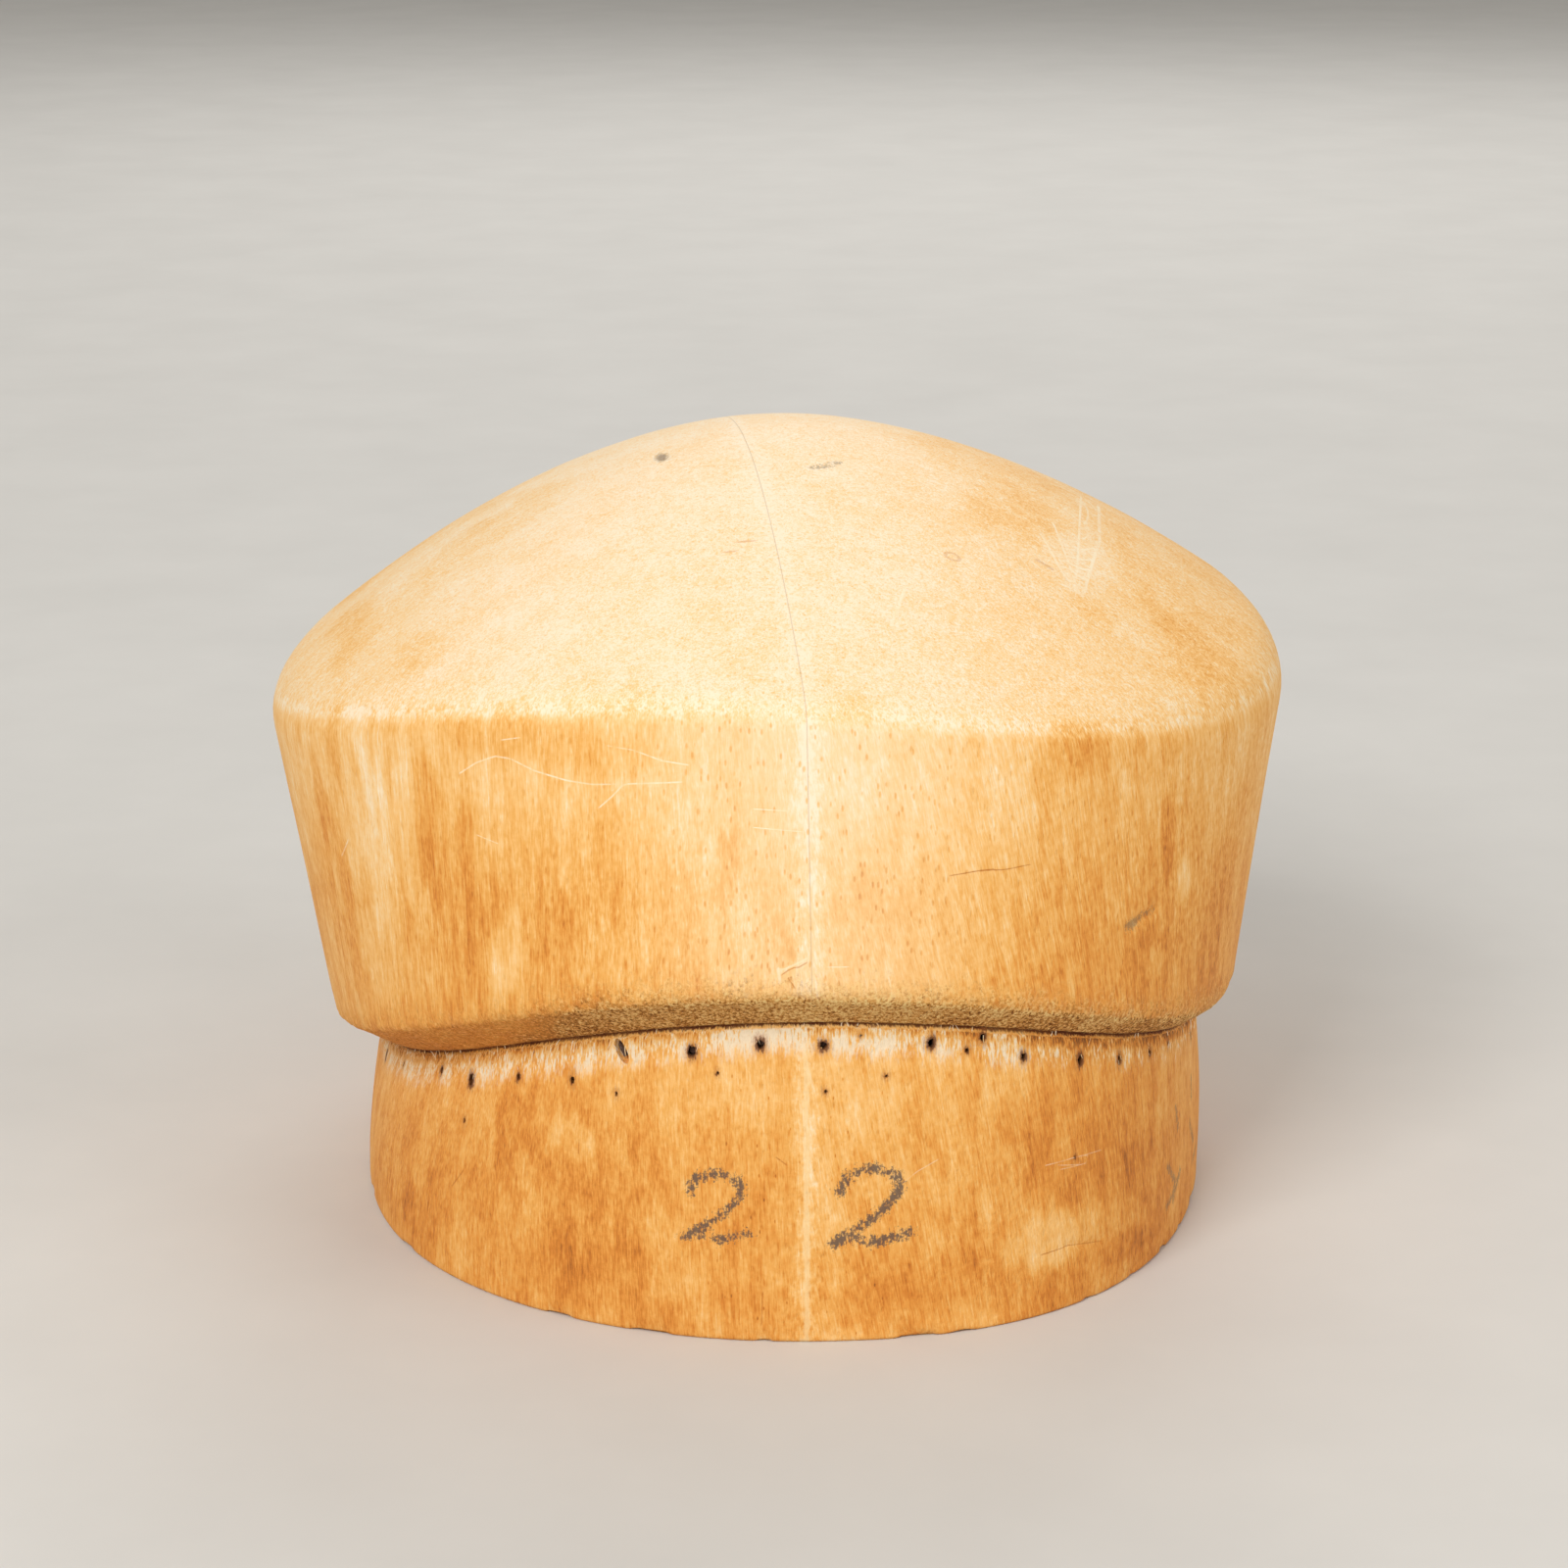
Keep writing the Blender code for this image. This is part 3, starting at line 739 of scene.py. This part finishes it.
def figure_distance(points):
    """Distance to the edge of the crayon number, in millimetres."""
    nearest = np.full(len(points), FAR)
    for (left, right, foot, head), half_width in zip(FIGURES, FIGURE_HALF_WIDTHS):
        line = [(left + (right - left) * (x + FIGURE_SLANT * y), foot + (head - foot) * y)
                for x, y in FIGURE_STROKE]
        nearest = np.minimum(nearest, stroke_distance(points, stroke_on(surface_point, line)) - half_width)
    return 1000 * nearest


def hole_distance(points):
    """Distance to the edge of the dirt round the nearest pin hole, in millimetres."""
    nearest = np.full(len(points), FAR)
    for half_turn, (degrees, drop, radius) in product(ENDS, PIN_HOLES):
        place, _ = collar_place(degrees + half_turn, drop)
        offset = (points - np.array(place)) / np.array((1, 1, stretch_at(degrees)))
        stain = min(STAIN_WIDENING * radius - STAIN_CLOSING, WIDEST_STAIN)
        nearest = np.minimum(nearest, np.linalg.norm(offset, axis=1) - stain)
    return 1000 * nearest


def wear_and_sheen_tone(points, level):
    """Tone of the worn wood from 0, bleached, to 1, dark brown, before its grain, with painted sheen and
    light on the top and paler wood with a painted highlight near the seam.
    """
    x, y, z = 1000 * points.T
    # Paler near the seam: paler wood and a painted highlight
    near_seam = bump_at(x, NEAR_SEAM_MIDDLE, NEAR_SEAM_HALF_WIDTH)
    collar = COLLAR_TONE - 0.10 * near_seam - 0.08 * smooth_step(level, 0.45, 0.85)
    collar += 0.03 * smooth_step(x, -7, 30)
    high = smooth_step(level, 2.25, 2.8)
    band = BAND_TONE - (0.21 - 0.06 * high) * near_seam - 0.17 * high
    band += 0.08 * smooth_step(x, 15, 40) + 0.04 * smooth_step(-x, 45, 80)
    flank = smooth_step(np.abs(x), 50, 92)
    # The top: paler wood with painted sheen and light from above, browner at its flanks and towards the right
    dome = DOME_TONE_AND_SHEEN + 0.08 * flank + 0.09 * smooth_step(x, 0, 50)
    tone = np.where(level < 1, collar, lerp(band, dome, smooth_step(level, 2.93, 3.01)))
    coarse = ripple(points, (0.009, 0.009, 0.022), 7)
    fine = ripple(points, (0.0022, 0.0022, 0.012), 8)
    for half_turn, (degrees, height, half_width, half_height, change) in product(ENDS, PATCHES):
        middle = 1000 * surface_point(degrees + half_turn, height)
        sideways = np.hypot(x - middle[0], y - middle[1])
        reach = np.hypot(sideways / half_width, (z - middle[2]) / half_height)
        tone += change * (1 - smooth_step(reach + 0.5 * coarse + 0.45 * fine, 0.55, 1.25)) * (level < 3)
    for across, along, half_width, half_depth, change in TOP_PATCHES:
        reach = np.hypot((x - across) / half_width, (y - along) / half_depth)
        tone += change * (1 - smooth_step(reach + 0.6 * coarse + 0.5 * fine, 0.35, 1.4)) * (level > 2.96)
    return tone


def make_fibre():
    """One torn fibre: a thin bent spike with its foot at the origin, standing up."""
    bpy.ops.object.select_all(action="DESELECT")
    bpy.ops.mesh.primitive_circle_add(vertices=4, radius=FIBRE_HALF_WIDTH, fill_type="NGON")
    fibre = bpy.context.object
    edit_all()
    rise = FIBRE_LENGTH / len(FIBRE_STEPS)
    bent = 0.0
    for step, (bend, taper) in enumerate(FIBRE_STEPS, 1):
        bpy.ops.mesh.extrude_region_move(TRANSFORM_OT_translate={"value": (bend * rise, 0, rise)})
        bent += bend * rise
        bpy.ops.transform.resize(value=(taper, taper, 1), center_override=(bent, 0, step * rise))
    bpy.ops.mesh.select_all(action="SELECT")
    bpy.ops.mesh.normals_make_consistent(inside=False)
    end_edit()
    return fibre


def make_torn_fibres():
    """Copies of the fibre, pulled up or down out of the collar under the rope line, at both ends."""
    draw = random.Random(11)
    fibre = make_fibre()
    copies = []
    for _ in range(FIBRE_COUNT):
        degrees = draw.choice(FIBRE_PLACES) + draw.gauss(0, FIBRE_SPREAD) + draw.choice(ENDS)
        place, outward = collar_place(degrees, 0.0003 + 0.0045 * draw.random() ** 1.6)
        aside = outward.cross(Vector((0, 0, 1))) * draw.gauss(0, 0.3)
        axis = Vector((0, 0, draw.choice((-1, -1, 1)))) + aside + outward * draw.uniform(*FIBRE_LIFT)
        width = draw.uniform(*FIBRE_WIDTHS)
        size = Vector((width, width, draw.uniform(*FIBRE_LENGTHS)))
        turn = axis.to_track_quat("Z", "Y")
        copies.append(copied(fibre))
        copies[-1].data.transform(Matrix.LocRotScale(place - outward * FIBRE_ROOT, turn, size))
    bpy.data.objects.remove(fibre)
    return joined(copies, "torn_fibres")


def paint(mesh, name, values):
    layer = mesh.attributes.new(name, "FLOAT", "POINT")
    layer.data.foreach_set("value", values.astype(np.float32))


def paint_marks(half):
    mesh = half.data
    points = read_points(mesh)
    angle, level, depth = levels_at(points)
    paint(mesh, "level", level)
    paint(mesh, "drop", 1000 * (rope_line(angle)[1] - points[:, 2]))
    paint(mesh, "depth", 1000 * depth)
    paint(mesh, "tone", wear_and_sheen_tone(points, level))
    even = uncarved(points)
    for name, scratches, top_scratches in (("pale", PALE_SCRATCHES, TOP_PALE_SCRATCHES),
                                           ("dark", DARK_SCRATCHES, TOP_DARK_SCRATCHES)):
        offset, distance = scratch_offset(even, scratches, top_scratches)
        paint(mesh, f"{name}_offset", offset)
        paint(mesh, f"{name}_distance", distance)
    paint(mesh, "smudge", mark_distance(even, SMUDGES, TOP_SMUDGES))
    paint(mesh, "figure", figure_distance(even))
    paint(mesh, "hole", hole_distance(even))


def tint(red, green, blue):
    """Shader colour of a colour given from 0 to 255 as a screen shows it."""
    shares = np.array((red, green, blue)) / 255
    linear = np.where(shares < 0.04, shares / 12.92, ((shares + 0.055) / 1.055) ** 2.4)
    return (*linear.tolist(), 1)


def both_ways(operation):
    """How a wire does a sum with a value after it, and with a value before it."""
    def wire_first(wire, value):
        return wire.math(operation, wire, value)

    def value_first(wire, value):
        return wire.math(operation, value, wire)

    return wire_first, value_first


class Wire:
    """A node's output. Sums and products of wires add Math nodes to their finish."""

    def __init__(self, finish, socket):
        self.finish = finish
        self.socket = socket

    def math(self, operation, *values):
        return self.finish.node("ShaderNodeMath", {"operation": operation}, dict(enumerate(values)))

    def __abs__(self):
        return self.math("ABSOLUTE", self)

    __add__, __radd__ = both_ways("ADD")
    __sub__, __rsub__ = both_ways("SUBTRACT")
    __mul__, __rmul__ = both_ways("MULTIPLY")


class Finish:
    """A procedural material round one Principled shader."""

    def __init__(self, name, constants):
        self.material = bpy.data.materials.new(name)
        self.material.use_nodes = True
        self.tree = self.material.node_tree
        self.shader = self.tree.nodes["Principled BSDF"]
        self.colour = None
        for socket, value in constants.items():
            self.shader.inputs[socket].default_value = value

    def node(self, kind, settings, values, output=0):
        made = self.tree.nodes.new(kind)
        for setting, value in settings.items():
            if setting == "stops":
                self.set_stops(made.color_ramp.elements, value)
            else:
                setattr(made, setting, value)
        for socket, value in values.items():
            if isinstance(value, Wire):
                self.tree.links.new(value.socket, made.inputs[socket])
            else:
                made.inputs[socket].default_value = value
        return Wire(self, made.outputs[output])

    def coat(self, colour, share):
        """Lays a colour over the finish's colour, by a share from 0 to 1."""
        self.colour = self.blend(self.colour, colour, share)

    def set_stops(self, elements, stops):
        while len(elements) < len(stops):
            elements.new(1.0)
        for element, (position, colour) in zip(elements, stops):
            element.position = position
            element.color = colour

    def feed(self, socket, wire):
        self.tree.links.new(wire.socket, self.shader.inputs[socket])

    def vector(self, operation, first, second):
        return self.node("ShaderNodeVectorMath", {"operation": operation}, {0: first, 1: second})

    def millimetres(self):
        """Place on the object in millimetres."""
        metres = self.node("ShaderNodeTexCoord", {}, {}, "Object")
        return self.node("ShaderNodeVectorMath", {"operation": "SCALE"}, {0: metres, "Scale": 1000.0})

    def leaning(self, place, degrees):
        """The place tilted sideways, so that what is drawn out upwards leans."""
        turn = (0.0, math.radians(degrees), 0.0)
        return self.node("ShaderNodeMapping", {}, {"Vector": place, "Rotation": turn})

    def part(self, place, axis):
        return self.node("ShaderNodeSeparateXYZ", {}, {"Vector": place}, axis)

    def painted(self, name):
        return self.node("ShaderNodeAttribute", {"attribute_name": name}, {}, "Fac")

    def cells(self, place, size, shift):
        """The place counted in cells of a size along X, Y and Z. A shift sets patterns apart."""
        return self.vector("ADD", self.vector("DIVIDE", place, size), (shift, shift, shift))

    def grain(self, place, size, detail=2.0, roughness=0.5, shift=0.0):
        """Noise round zero. Size is the length of its blotches."""
        vector = self.cells(place, size, shift)
        values = {"Vector": vector, "Scale": 1.0, "Detail": detail, "Roughness": roughness}
        return self.node("ShaderNodeTexNoise", {}, values) * 2 - 1

    def dashes(self, place, size, shift=0.0):
        """Distance to the nearest of many scattered points, in cells."""
        values = {"Vector": self.cells(place, size, shift), "Scale": 1.0}
        return self.node("ShaderNodeTexVoronoi", {"feature": "F1"}, values, "Distance")

    def scratch(self, name, slack):
        """1 on the painted scratches and 0 off them. Slack is more distance, for the top's wider mesh."""
        across = self.fade(abs(self.painted(f"{name}_offset")), 0.5, 1.4)
        return across * self.fade(self.painted(f"{name}_distance") - slack, 0.3, 0.8)

    def reach(self, place, mark):
        """Distance from the middle of a round mark on the top, 1 at its edge."""
        across, along, half_width, half_depth = mark
        offset = self.vector("SUBTRACT", place, (across, along, 0.0))
        flat = self.vector("MULTIPLY", offset, (1 / half_width, 1 / half_depth, 0.0))
        return self.node("ShaderNodeVectorMath", {"operation": "LENGTH"}, {0: flat}, "Value")

    def step(self, value, low, high, first=0.0, last=1.0):
        """Smooth change from first to last while the value goes from low to high."""
        values = {"Value": value, "From Min": low, "From Max": high, "To Min": first, "To Max": last}
        return self.node("ShaderNodeMapRange", {"interpolation_type": "SMOOTHSTEP"}, values)

    def fade(self, value, low, high, first=1.0):
        """Smooth change from first to nothing while the value goes from low to high."""
        return self.step(value, low, high, first, 0.0)

    def blend(self, first, second, share):
        return self.node("ShaderNodeMix", {"data_type": "RGBA"}, {0: share, 6: first, 7: second}, 2)

    def ramp(self, value, stops):
        return self.node("ShaderNodeValToRGB", {"stops": stops}, {"Fac": value})

    def relief(self, height, distance):
        values = {"Height": height, "Distance": distance, "Strength": 1.0}
        self.feed("Normal", self.node("ShaderNodeBump", {}, values))


WOOD_TONES = (
    (0.00, tint(254, 234, 202)),
    (0.13, tint(252, 214, 157)),
    (0.27, tint(249, 196, 122)),
    (0.41, tint(241, 177, 92)),
    (0.56, tint(230, 154, 67)),
    (0.70, tint(213, 131, 50)),
    (0.84, tint(182, 108, 42)),
    (1.00, tint(126, 80, 40)),
)
RAW_TONES = (
    (0.18, tint(116, 66, 26)),
    (0.42, tint(196, 132, 60)),
    (0.60, tint(230, 172, 94)),
    (0.80, tint(254, 220, 150)),
)
# Painted sheen of the band near the seam
SEAM_SHEEN = tint(255, 238, 220)
SEAM_LINE = tint(150, 112, 80)
GLUE = tint(250, 220, 166)
# Dirt and painted shadow of the crease
CREASE_DIRT_AND_SHADOW = tint(104, 50, 18)
SMEARED_RUST = tint(176, 104, 48)
RUST = tint(104, 60, 34)
# Rust and painted shade inside the pin holes
HOLE_RUST_AND_SHADE = tint(56, 36, 28)
PALE_SCRATCH = tint(255, 238, 206)
DARK_SCRATCH = tint(196, 118, 46)
TOP_MARK = tint(206, 128, 50)
TOP_STAIN = tint(112, 88, 66)
SMUDGE = tint(122, 104, 82)
CRAYON = tint(76, 70, 72)
STEEL = tint(122, 112, 104)
BRIGHT_STEEL = tint(176, 170, 164)
STEEL_RUST = tint(74, 48, 36)
FLOOR_TONES = (tint(212, 209, 203), tint(218, 215, 209))
SKY = tint(250, 248, 245)

# Levels where the top, the collar, the rim and the chamfer's foot begin or end, and the most worn level
TOP_EDGE = (2.94, 3.0)
COLLAR_EDGE = (0.9, 1.1)
RIM_EDGE = (1.88, 2.12)
CHAMFER_FOOT = (0.99, 1.05)
RIDGE_WEAR = 2.97

# Tilt of the wood's curl in degrees, and heights of the surfaces' relief
CURL_LEAN = 24
WOOD_RELIEF = 0.00012
DOWEL_RELIEF = 0.0001
STEEL_RELIEF = 0.00005


def wood_finish(name, lean, curl):
    """Pale hardwood, worn and steamed. Lean tilts its fine grain in degrees, curl is how much it waves.

    The number before a pattern is its strength. Distances are in millimetres.
    """
    wood = Finish(name, {"Specular IOR Level": 0.22})
    place = wood.millimetres()
    across = wood.part(place, "X")
    seam = abs(across - 1000 * SEAM_OFFSET)
    level = wood.painted("level")
    drop = wood.painted("drop")

    # Patterns from broad to fine. Most are drawn out upwards, along the wood's grain.
    grown = wood.leaning(place, lean)
    broad = wood.grain(place, (20, 20, 110), 2, 0.5, 3.1)
    patch = wood.grain(place, (7, 7, 19), 7, 0.64, 11.3)
    mottle = wood.grain(place, (4.5, 4.5, 7), 3, 0.55, 8.3)
    wave = wood.grain(wood.leaning(place, CURL_LEAN), (2.4, 2.4, 1.3), 2, 0.5, 9.1)
    streak = wood.grain(place, (2.2, 2.2, 26), 4, 0.6, 7.7)
    fleck = wood.grain(place, (1, 1, 1.4), 3, 0.65, 2.7)
    line = wood.grain(grown, (0.6, 0.6, 8), 2, 0.5, 1.9)
    stipple = wood.grain(place, (0.6, 0.6, 0.65), 4, 0.75, 6.1)
    fuzz = wood.grain(place, (0.36, 0.36, 1.9), 3, 0.6, 4.4)
    fibre = wood.grain(grown, (0.26, 0.26, 2.8), 1, 0.5, 5.3)
    pore = wood.fade(wood.dashes(place, (1.1, 1.1, 3.2)), 0.1, 0.25)
    vessel = wood.fade(wood.dashes(place, (1.5, 1.5, 4), 4), 0.05, 0.12)

    # Zones with ragged edges. The chamfer is rubbed smooth at the left.
    on_top = wood.step(level + 0.05 * fleck + 0.03 * streak + 0.03 * patch, *TOP_EDGE)
    on_collar = wood.fade(level, *COLLAR_EDGE)
    on_chamfer = wood.step(level, *CHAMFER_FOOT) * (1 - wood.step(level + 0.16 * fleck, *RIM_EDGE))
    raw_share = on_chamfer * wood.step(across + 12 * patch, -58, -44, 0.35, 1)

    # Worn wood. Its grain shows most where it is brown.
    painted = wood.painted("tone")
    contrast = wood.step(painted, 0, 0.5, 0.42, 1.05) * (1 - 0.3 * on_top)
    vertical = (0.22 * streak + 0.2 * line) * (1 - 0.25 * on_collar)
    soft = 0.14 * broad + 0.28 * patch + 0.2 * on_collar * mottle
    hatched = on_top * (0.4 * fibre + 0.25 * line + 0.12 * fleck)
    grained = vertical + soft + 0.22 * fibre + 0.15 * fleck + hatched
    curled = curl * wood.step(level, 0.8, 2, 0.35, 1) * wave

    # Pores, most of them near the seam, and darker vessels on the collar left of it
    open_pores = wood.step(seam, 10, 34, 1, 0.35) * wood.step(level, 1, 2.2, 0.4, 1)
    tone = painted + contrast * (grained + curled) + 0.24 * pore * open_pores * (1 - 0.5 * on_top)
    open_grained = on_collar * wood.step(across, -34, -16) * wood.step(across, -4, 14, 1, 0.25)
    tone = tone + 0.3 * vessel * open_grained

    # Paler wood along the ridge, paler wood with a painted highlight along the seam, and painted sheen on the
    # band near it
    off_ridge = abs(level - RIDGE_WEAR + 0.05 * fleck + 0.03 * patch)
    tone = tone - 0.1 * wood.fade(off_ridge, 0, 0.03) * wood.step(seam, 6, 40)
    # Paler wood and a painted highlight along the seam
    paler = 0.12 - 0.08 * on_top + 0.03 * on_collar
    tone = tone - paler * wood.fade(seam + 2 * fleck, 0.3, 3.2 - 0.6 * on_collar)
    wood.colour = wood.ramp(tone + 0.14 * on_chamfer, WOOD_TONES)
    # Painted sheen: the band turns whitish near the seam
    wood.coat(SEAM_SHEEN, wood.fade(seam, 4, 34, 0.12) * wood.step(level, 1.9, 2.1) * (1 - on_top))

    # Fine line of the seam above the rope line, pale glue line down the collar
    wood.coat(SEAM_LINE, wood.fade(seam, 0.04, 0.16, 0.3) * (1 - on_collar))
    glue = wood.fade(seam + 0.4 * fleck + 0.3 * line, 0.3, 0.75, 0.5)
    wood.coat(GLUE, glue * on_collar)

    # Wood torn by the cord and the pins under the rope line: white left of the seam, brown at its upper edge
    frayed = drop + 3.4 * fuzz + 3 * streak + 3 * patch
    torn = wood.fade(frayed, 2.5, 6.5) * wood.fade(level, 0.985, 1)
    white = wood.fade(abs(across + 14) + 5 * streak + 5 * fuzz, 2, 13)
    scorched = wood.fade(drop + 3 * patch + 2 * fuzz, 0.8, 3, 0.34) * (1 - white)
    torn_tone = 0.18 + 1.4 * fuzz + 0.5 * streak + 0.9 * patch + scorched - 0.3 * white
    torn_tone = torn_tone - wood.fade(seam, 12, 34, 0.16) + wood.step(across, 10, 45, 0, 0.26)
    wood.coat(wood.ramp(torn_tone, WOOD_TONES), 0.95 * torn)

    # Raw, stippled wood of the chamfer
    speck = wood.step(wood.grain(place, (0.45, 0.45, 0.7), 2, 0.6, 2.2), 0.12, 0.34)
    raw_tone = 0.47 + 1.35 * stipple + 0.3 * patch + 0.12 * (level - 1.5) + 0.2 * speck
    raw_tone = raw_tone + wood.step(abs(across), 8, 22, 0.12, 0.02)
    raw_tone = raw_tone - wood.fade(across, -52, -36, 0.1)
    wood.coat(wood.ramp(raw_tone, RAW_TONES), raw_share)

    # Dirt and painted shadow in the crease, rust round the pins, and rust with painted shade inside the
    # holes, darker with depth
    # Dirt and painted shadow: dark brown along the crease at the rope line, where shade falls
    crease = wood.fade(abs(drop + 0.15 + 0.9 * fuzz + 0.5 * streak), 0.12, 0.65)
    wood.coat(CREASE_DIRT_AND_SHADOW, (0.9 + 0.6 * patch) * crease)
    hole = wood.painted("hole")
    wood.coat(SMEARED_RUST, 0.55 * wood.fade(hole + 1.1 * fuzz + 0.5 * stipple, 0, 1.1))
    wood.coat(RUST, 0.85 * wood.fade(hole + 0.7 * fuzz + 0.6 * stipple, -0.05, 0.4))
    # Rust and painted shade: the inside of a pin hole turns dark brown the deeper it lies
    wood.coat(HOLE_RUST_AND_SHADE, wood.step(wood.painted("depth"), 0.3, 1.6) * wood.fade(hole, 2, 3))

    # Scratches, which come and go, and the round marks of the top
    faded = 0.5 + 1.1 * patch + 0.7 * fleck
    wood.coat(PALE_SCRATCH, (1.1 - 0.5 * on_collar) * faded * wood.scratch("pale", 0.7 * on_top))
    darkness = (0.35 + 0.7 * faded) * (1 - on_top) + 0.35 * on_top
    wood.coat(DARK_SCRATCH, darkness * wood.scratch("dark", 0.7 * on_top))
    marked = wood.fade(abs(wood.reach(place, TOP_RING) - 0.9), 0.12, 0.35, 0.35)
    for dash in TOP_DASHES:
        marked = marked + wood.fade(wood.reach(place, dash) + 0.3 * fleck, 0.4, 1, 0.4)
    wood.coat(TOP_MARK, marked * on_top)
    spot = wood.fade(wood.reach(place, TOP_SPOT) + 0.8 * stipple, 0.35, 1.1, 0.7)
    wood.coat(TOP_STAIN, spot * on_top)

    # Smudges and crayon, which skip the hollows
    smudge = wood.painted("smudge") + 2 * stipple + fuzz
    wood.coat(SMUDGE, wood.fade(smudge, -0.6, 0.4, 0.6))
    figure = wood.painted("figure") + 2.6 * stipple + 1.2 * fuzz + 0.6 * streak
    wood.coat(CRAYON, wood.fade(figure, -0.55, 0.25, 0.85))

    wood.feed("Base Color", wood.colour)
    wood.feed("Roughness", 0.6 + 0.1 * fleck + 0.25 * on_chamfer + 0.12 * torn)
    height = 0.3 * fibre + 0.3 * line + 0.2 * streak - 0.5 * pore
    height = height + on_collar * (fleck + 0.8 * mottle)
    height = height + raw_share * 2.4 * stipple + torn * (0.8 * stipple + 1.6 * fuzz)
    wood.relief(height, WOOD_RELIEF)
    return wood.material


def fibre_finish():
    fibre = Finish("torn_fibres", {"Roughness": 0.7, "Specular IOR Level": 0.3})
    place = fibre.millimetres()
    tuft = fibre.grain(place, (3, 3, 3), 2, 0.5)
    fleck = fibre.grain(place, (0.4, 0.4, 0.8))
    fibre.feed("Base Color", fibre.ramp(0.1 + 0.5 * tuft + 0.3 * fleck, WOOD_TONES))
    return fibre.material


def dowel_finish():
    wood = Finish("dowel_wood", {"Roughness": 0.6})
    place = wood.millimetres()
    line = wood.grain(place, (9, 0.5, 0.5), 3, 0.55)
    fleck = wood.grain(place, (1.6, 0.8, 0.8), 3, 0.6, 4)
    wood.feed("Base Color", wood.ramp(0.55 + 0.5 * line + 0.2 * fleck, WOOD_TONES))
    wood.relief(line, DOWEL_RELIEF)
    return wood.material


def steel_finish(name, rust):
    steel = Finish(name, {"Metallic": 0.8})
    place = steel.millimetres()
    pit = steel.grain(place, (0.5, 0.5, 0.5), 5, 0.7)
    scratch = steel.grain(place, (0.2, 0.2, 2), 2, 0.5, 2)
    rusty = steel.step(pit + 0.5 * scratch, 0.15 - rust, 0.65 - rust)
    colour = steel.blend(STEEL, STEEL_RUST, rusty)
    bright = steel.step(scratch, 0.25, 0.6, 0, 0.35)
    steel.feed("Base Color", steel.blend(colour, BRIGHT_STEEL, bright))
    steel.feed("Metallic", 0.9 - 0.8 * rusty)
    steel.feed("Roughness", 0.35 + 0.45 * rusty)
    steel.relief(pit, STEEL_RELIEF)
    return steel.material


def give(item, material):
    item.data.materials.clear()
    item.data.materials.append(material)


def make_lamp(name, size, power, place):
    lamp = bpy.data.objects.new(name, bpy.data.lights.new(name, "AREA"))
    lamp.data.shape = "SQUARE"
    lamp.data.size = size
    lamp.data.energy = power
    lamp.location = place
    lamp.rotation_euler = (LAMP_TARGET - Vector(place)).to_track_quat("-Z", "Y").to_euler()
    bpy.context.scene.collection.objects.link(lamp)


def make_studio():
    """Pale floor that curves up all round, one large soft key lamp, two weaker ones and a pale sky."""
    bpy.ops.object.select_all(action="DESELECT")
    bpy.ops.mesh.primitive_circle_add(vertices=128, radius=FLOOR_RADIUS, fill_type="NGON")
    floor = bpy.context.object
    floor.name = "floor"
    edit_all()
    bpy.ops.mesh.inset(thickness=CURVE_RADIUS / 2)
    select_open_edges()
    radius = FLOOR_RADIUS
    turned = 0.0
    for step in range(1, CURVE_STEPS + 1):
        turn = math.pi / 2 * step / CURVE_STEPS
        rise = CURVE_RADIUS * (math.cos(turned) - math.cos(turn))
        grown = radius + CURVE_RADIUS * (math.sin(turn) - math.sin(turned))
        bpy.ops.mesh.extrude_region_move(TRANSFORM_OT_translate={"value": (0, 0, rise)})
        bpy.ops.transform.resize(value=(grown / radius, grown / radius, 1))
        radius = grown
        turned = turn
    end_edit()
    surface = Finish("floor", {"Roughness": 0.85, "Specular IOR Level": 0.2})
    mottle = surface.grain(surface.millimetres(), (60, 60, 60), 4, 0.6)
    surface.feed("Base Color", surface.blend(*FLOOR_TONES, 0.5 + mottle))
    give(floor, surface.material)
    for lamp in LAMPS:
        make_lamp(*lamp)
    world = bpy.data.worlds.new("studio")
    world.use_nodes = True
    sky = world.node_tree.nodes["Background"]
    sky.inputs["Color"].default_value = SKY
    sky.inputs["Strength"].default_value = SKY_STRENGTH
    bpy.context.scene.world = world


def make_camera():
    camera = bpy.data.objects.new("camera", bpy.data.cameras.new("camera"))
    bpy.context.scene.collection.objects.link(camera)
    camera.location = CAMERA_PLACE
    camera.rotation_euler = (math.radians(90 - CAMERA_PITCH), 0, math.radians(CAMERA_YAW))
    camera.data.lens = CAMERA_LENS
    camera.data.sensor_width = SENSOR_WIDTH
    bpy.context.scene.camera = camera


make_camera()
make_studio()
left_half, right_half = make_halves()
for half, node, slot in ((left_half, "left_half", "left_wood"), (right_half, "right_half", "right_wood")):
    paint_marks(half)
    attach(half, "root")
    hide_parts(node)
give(left_half, wood_finish("left_wood", 3, 0.05))
give(right_half, wood_finish("right_wood", 10, 0.09))

torn_fibres = make_torn_fibres()
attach(torn_fibres, "root")
give(torn_fibres, fibre_finish())

dowel_wood = dowel_finish()
for node in ("dowel_front_low", "dowel_front_high", "dowel_back_low", "dowel_back_high"):
    give(bpy.data.objects[node], dowel_wood)
give(bpy.data.objects["bent_nail"], steel_finish("nail_steel", 0.55))
rusty_steel = steel_finish("rusty_steel", 0.75)
for number in range(1, 5):
    give(bpy.data.objects[f"broken_pin_{number}"], rusty_steel)

bpy.context.scene.view_settings.view_transform = "Standard"
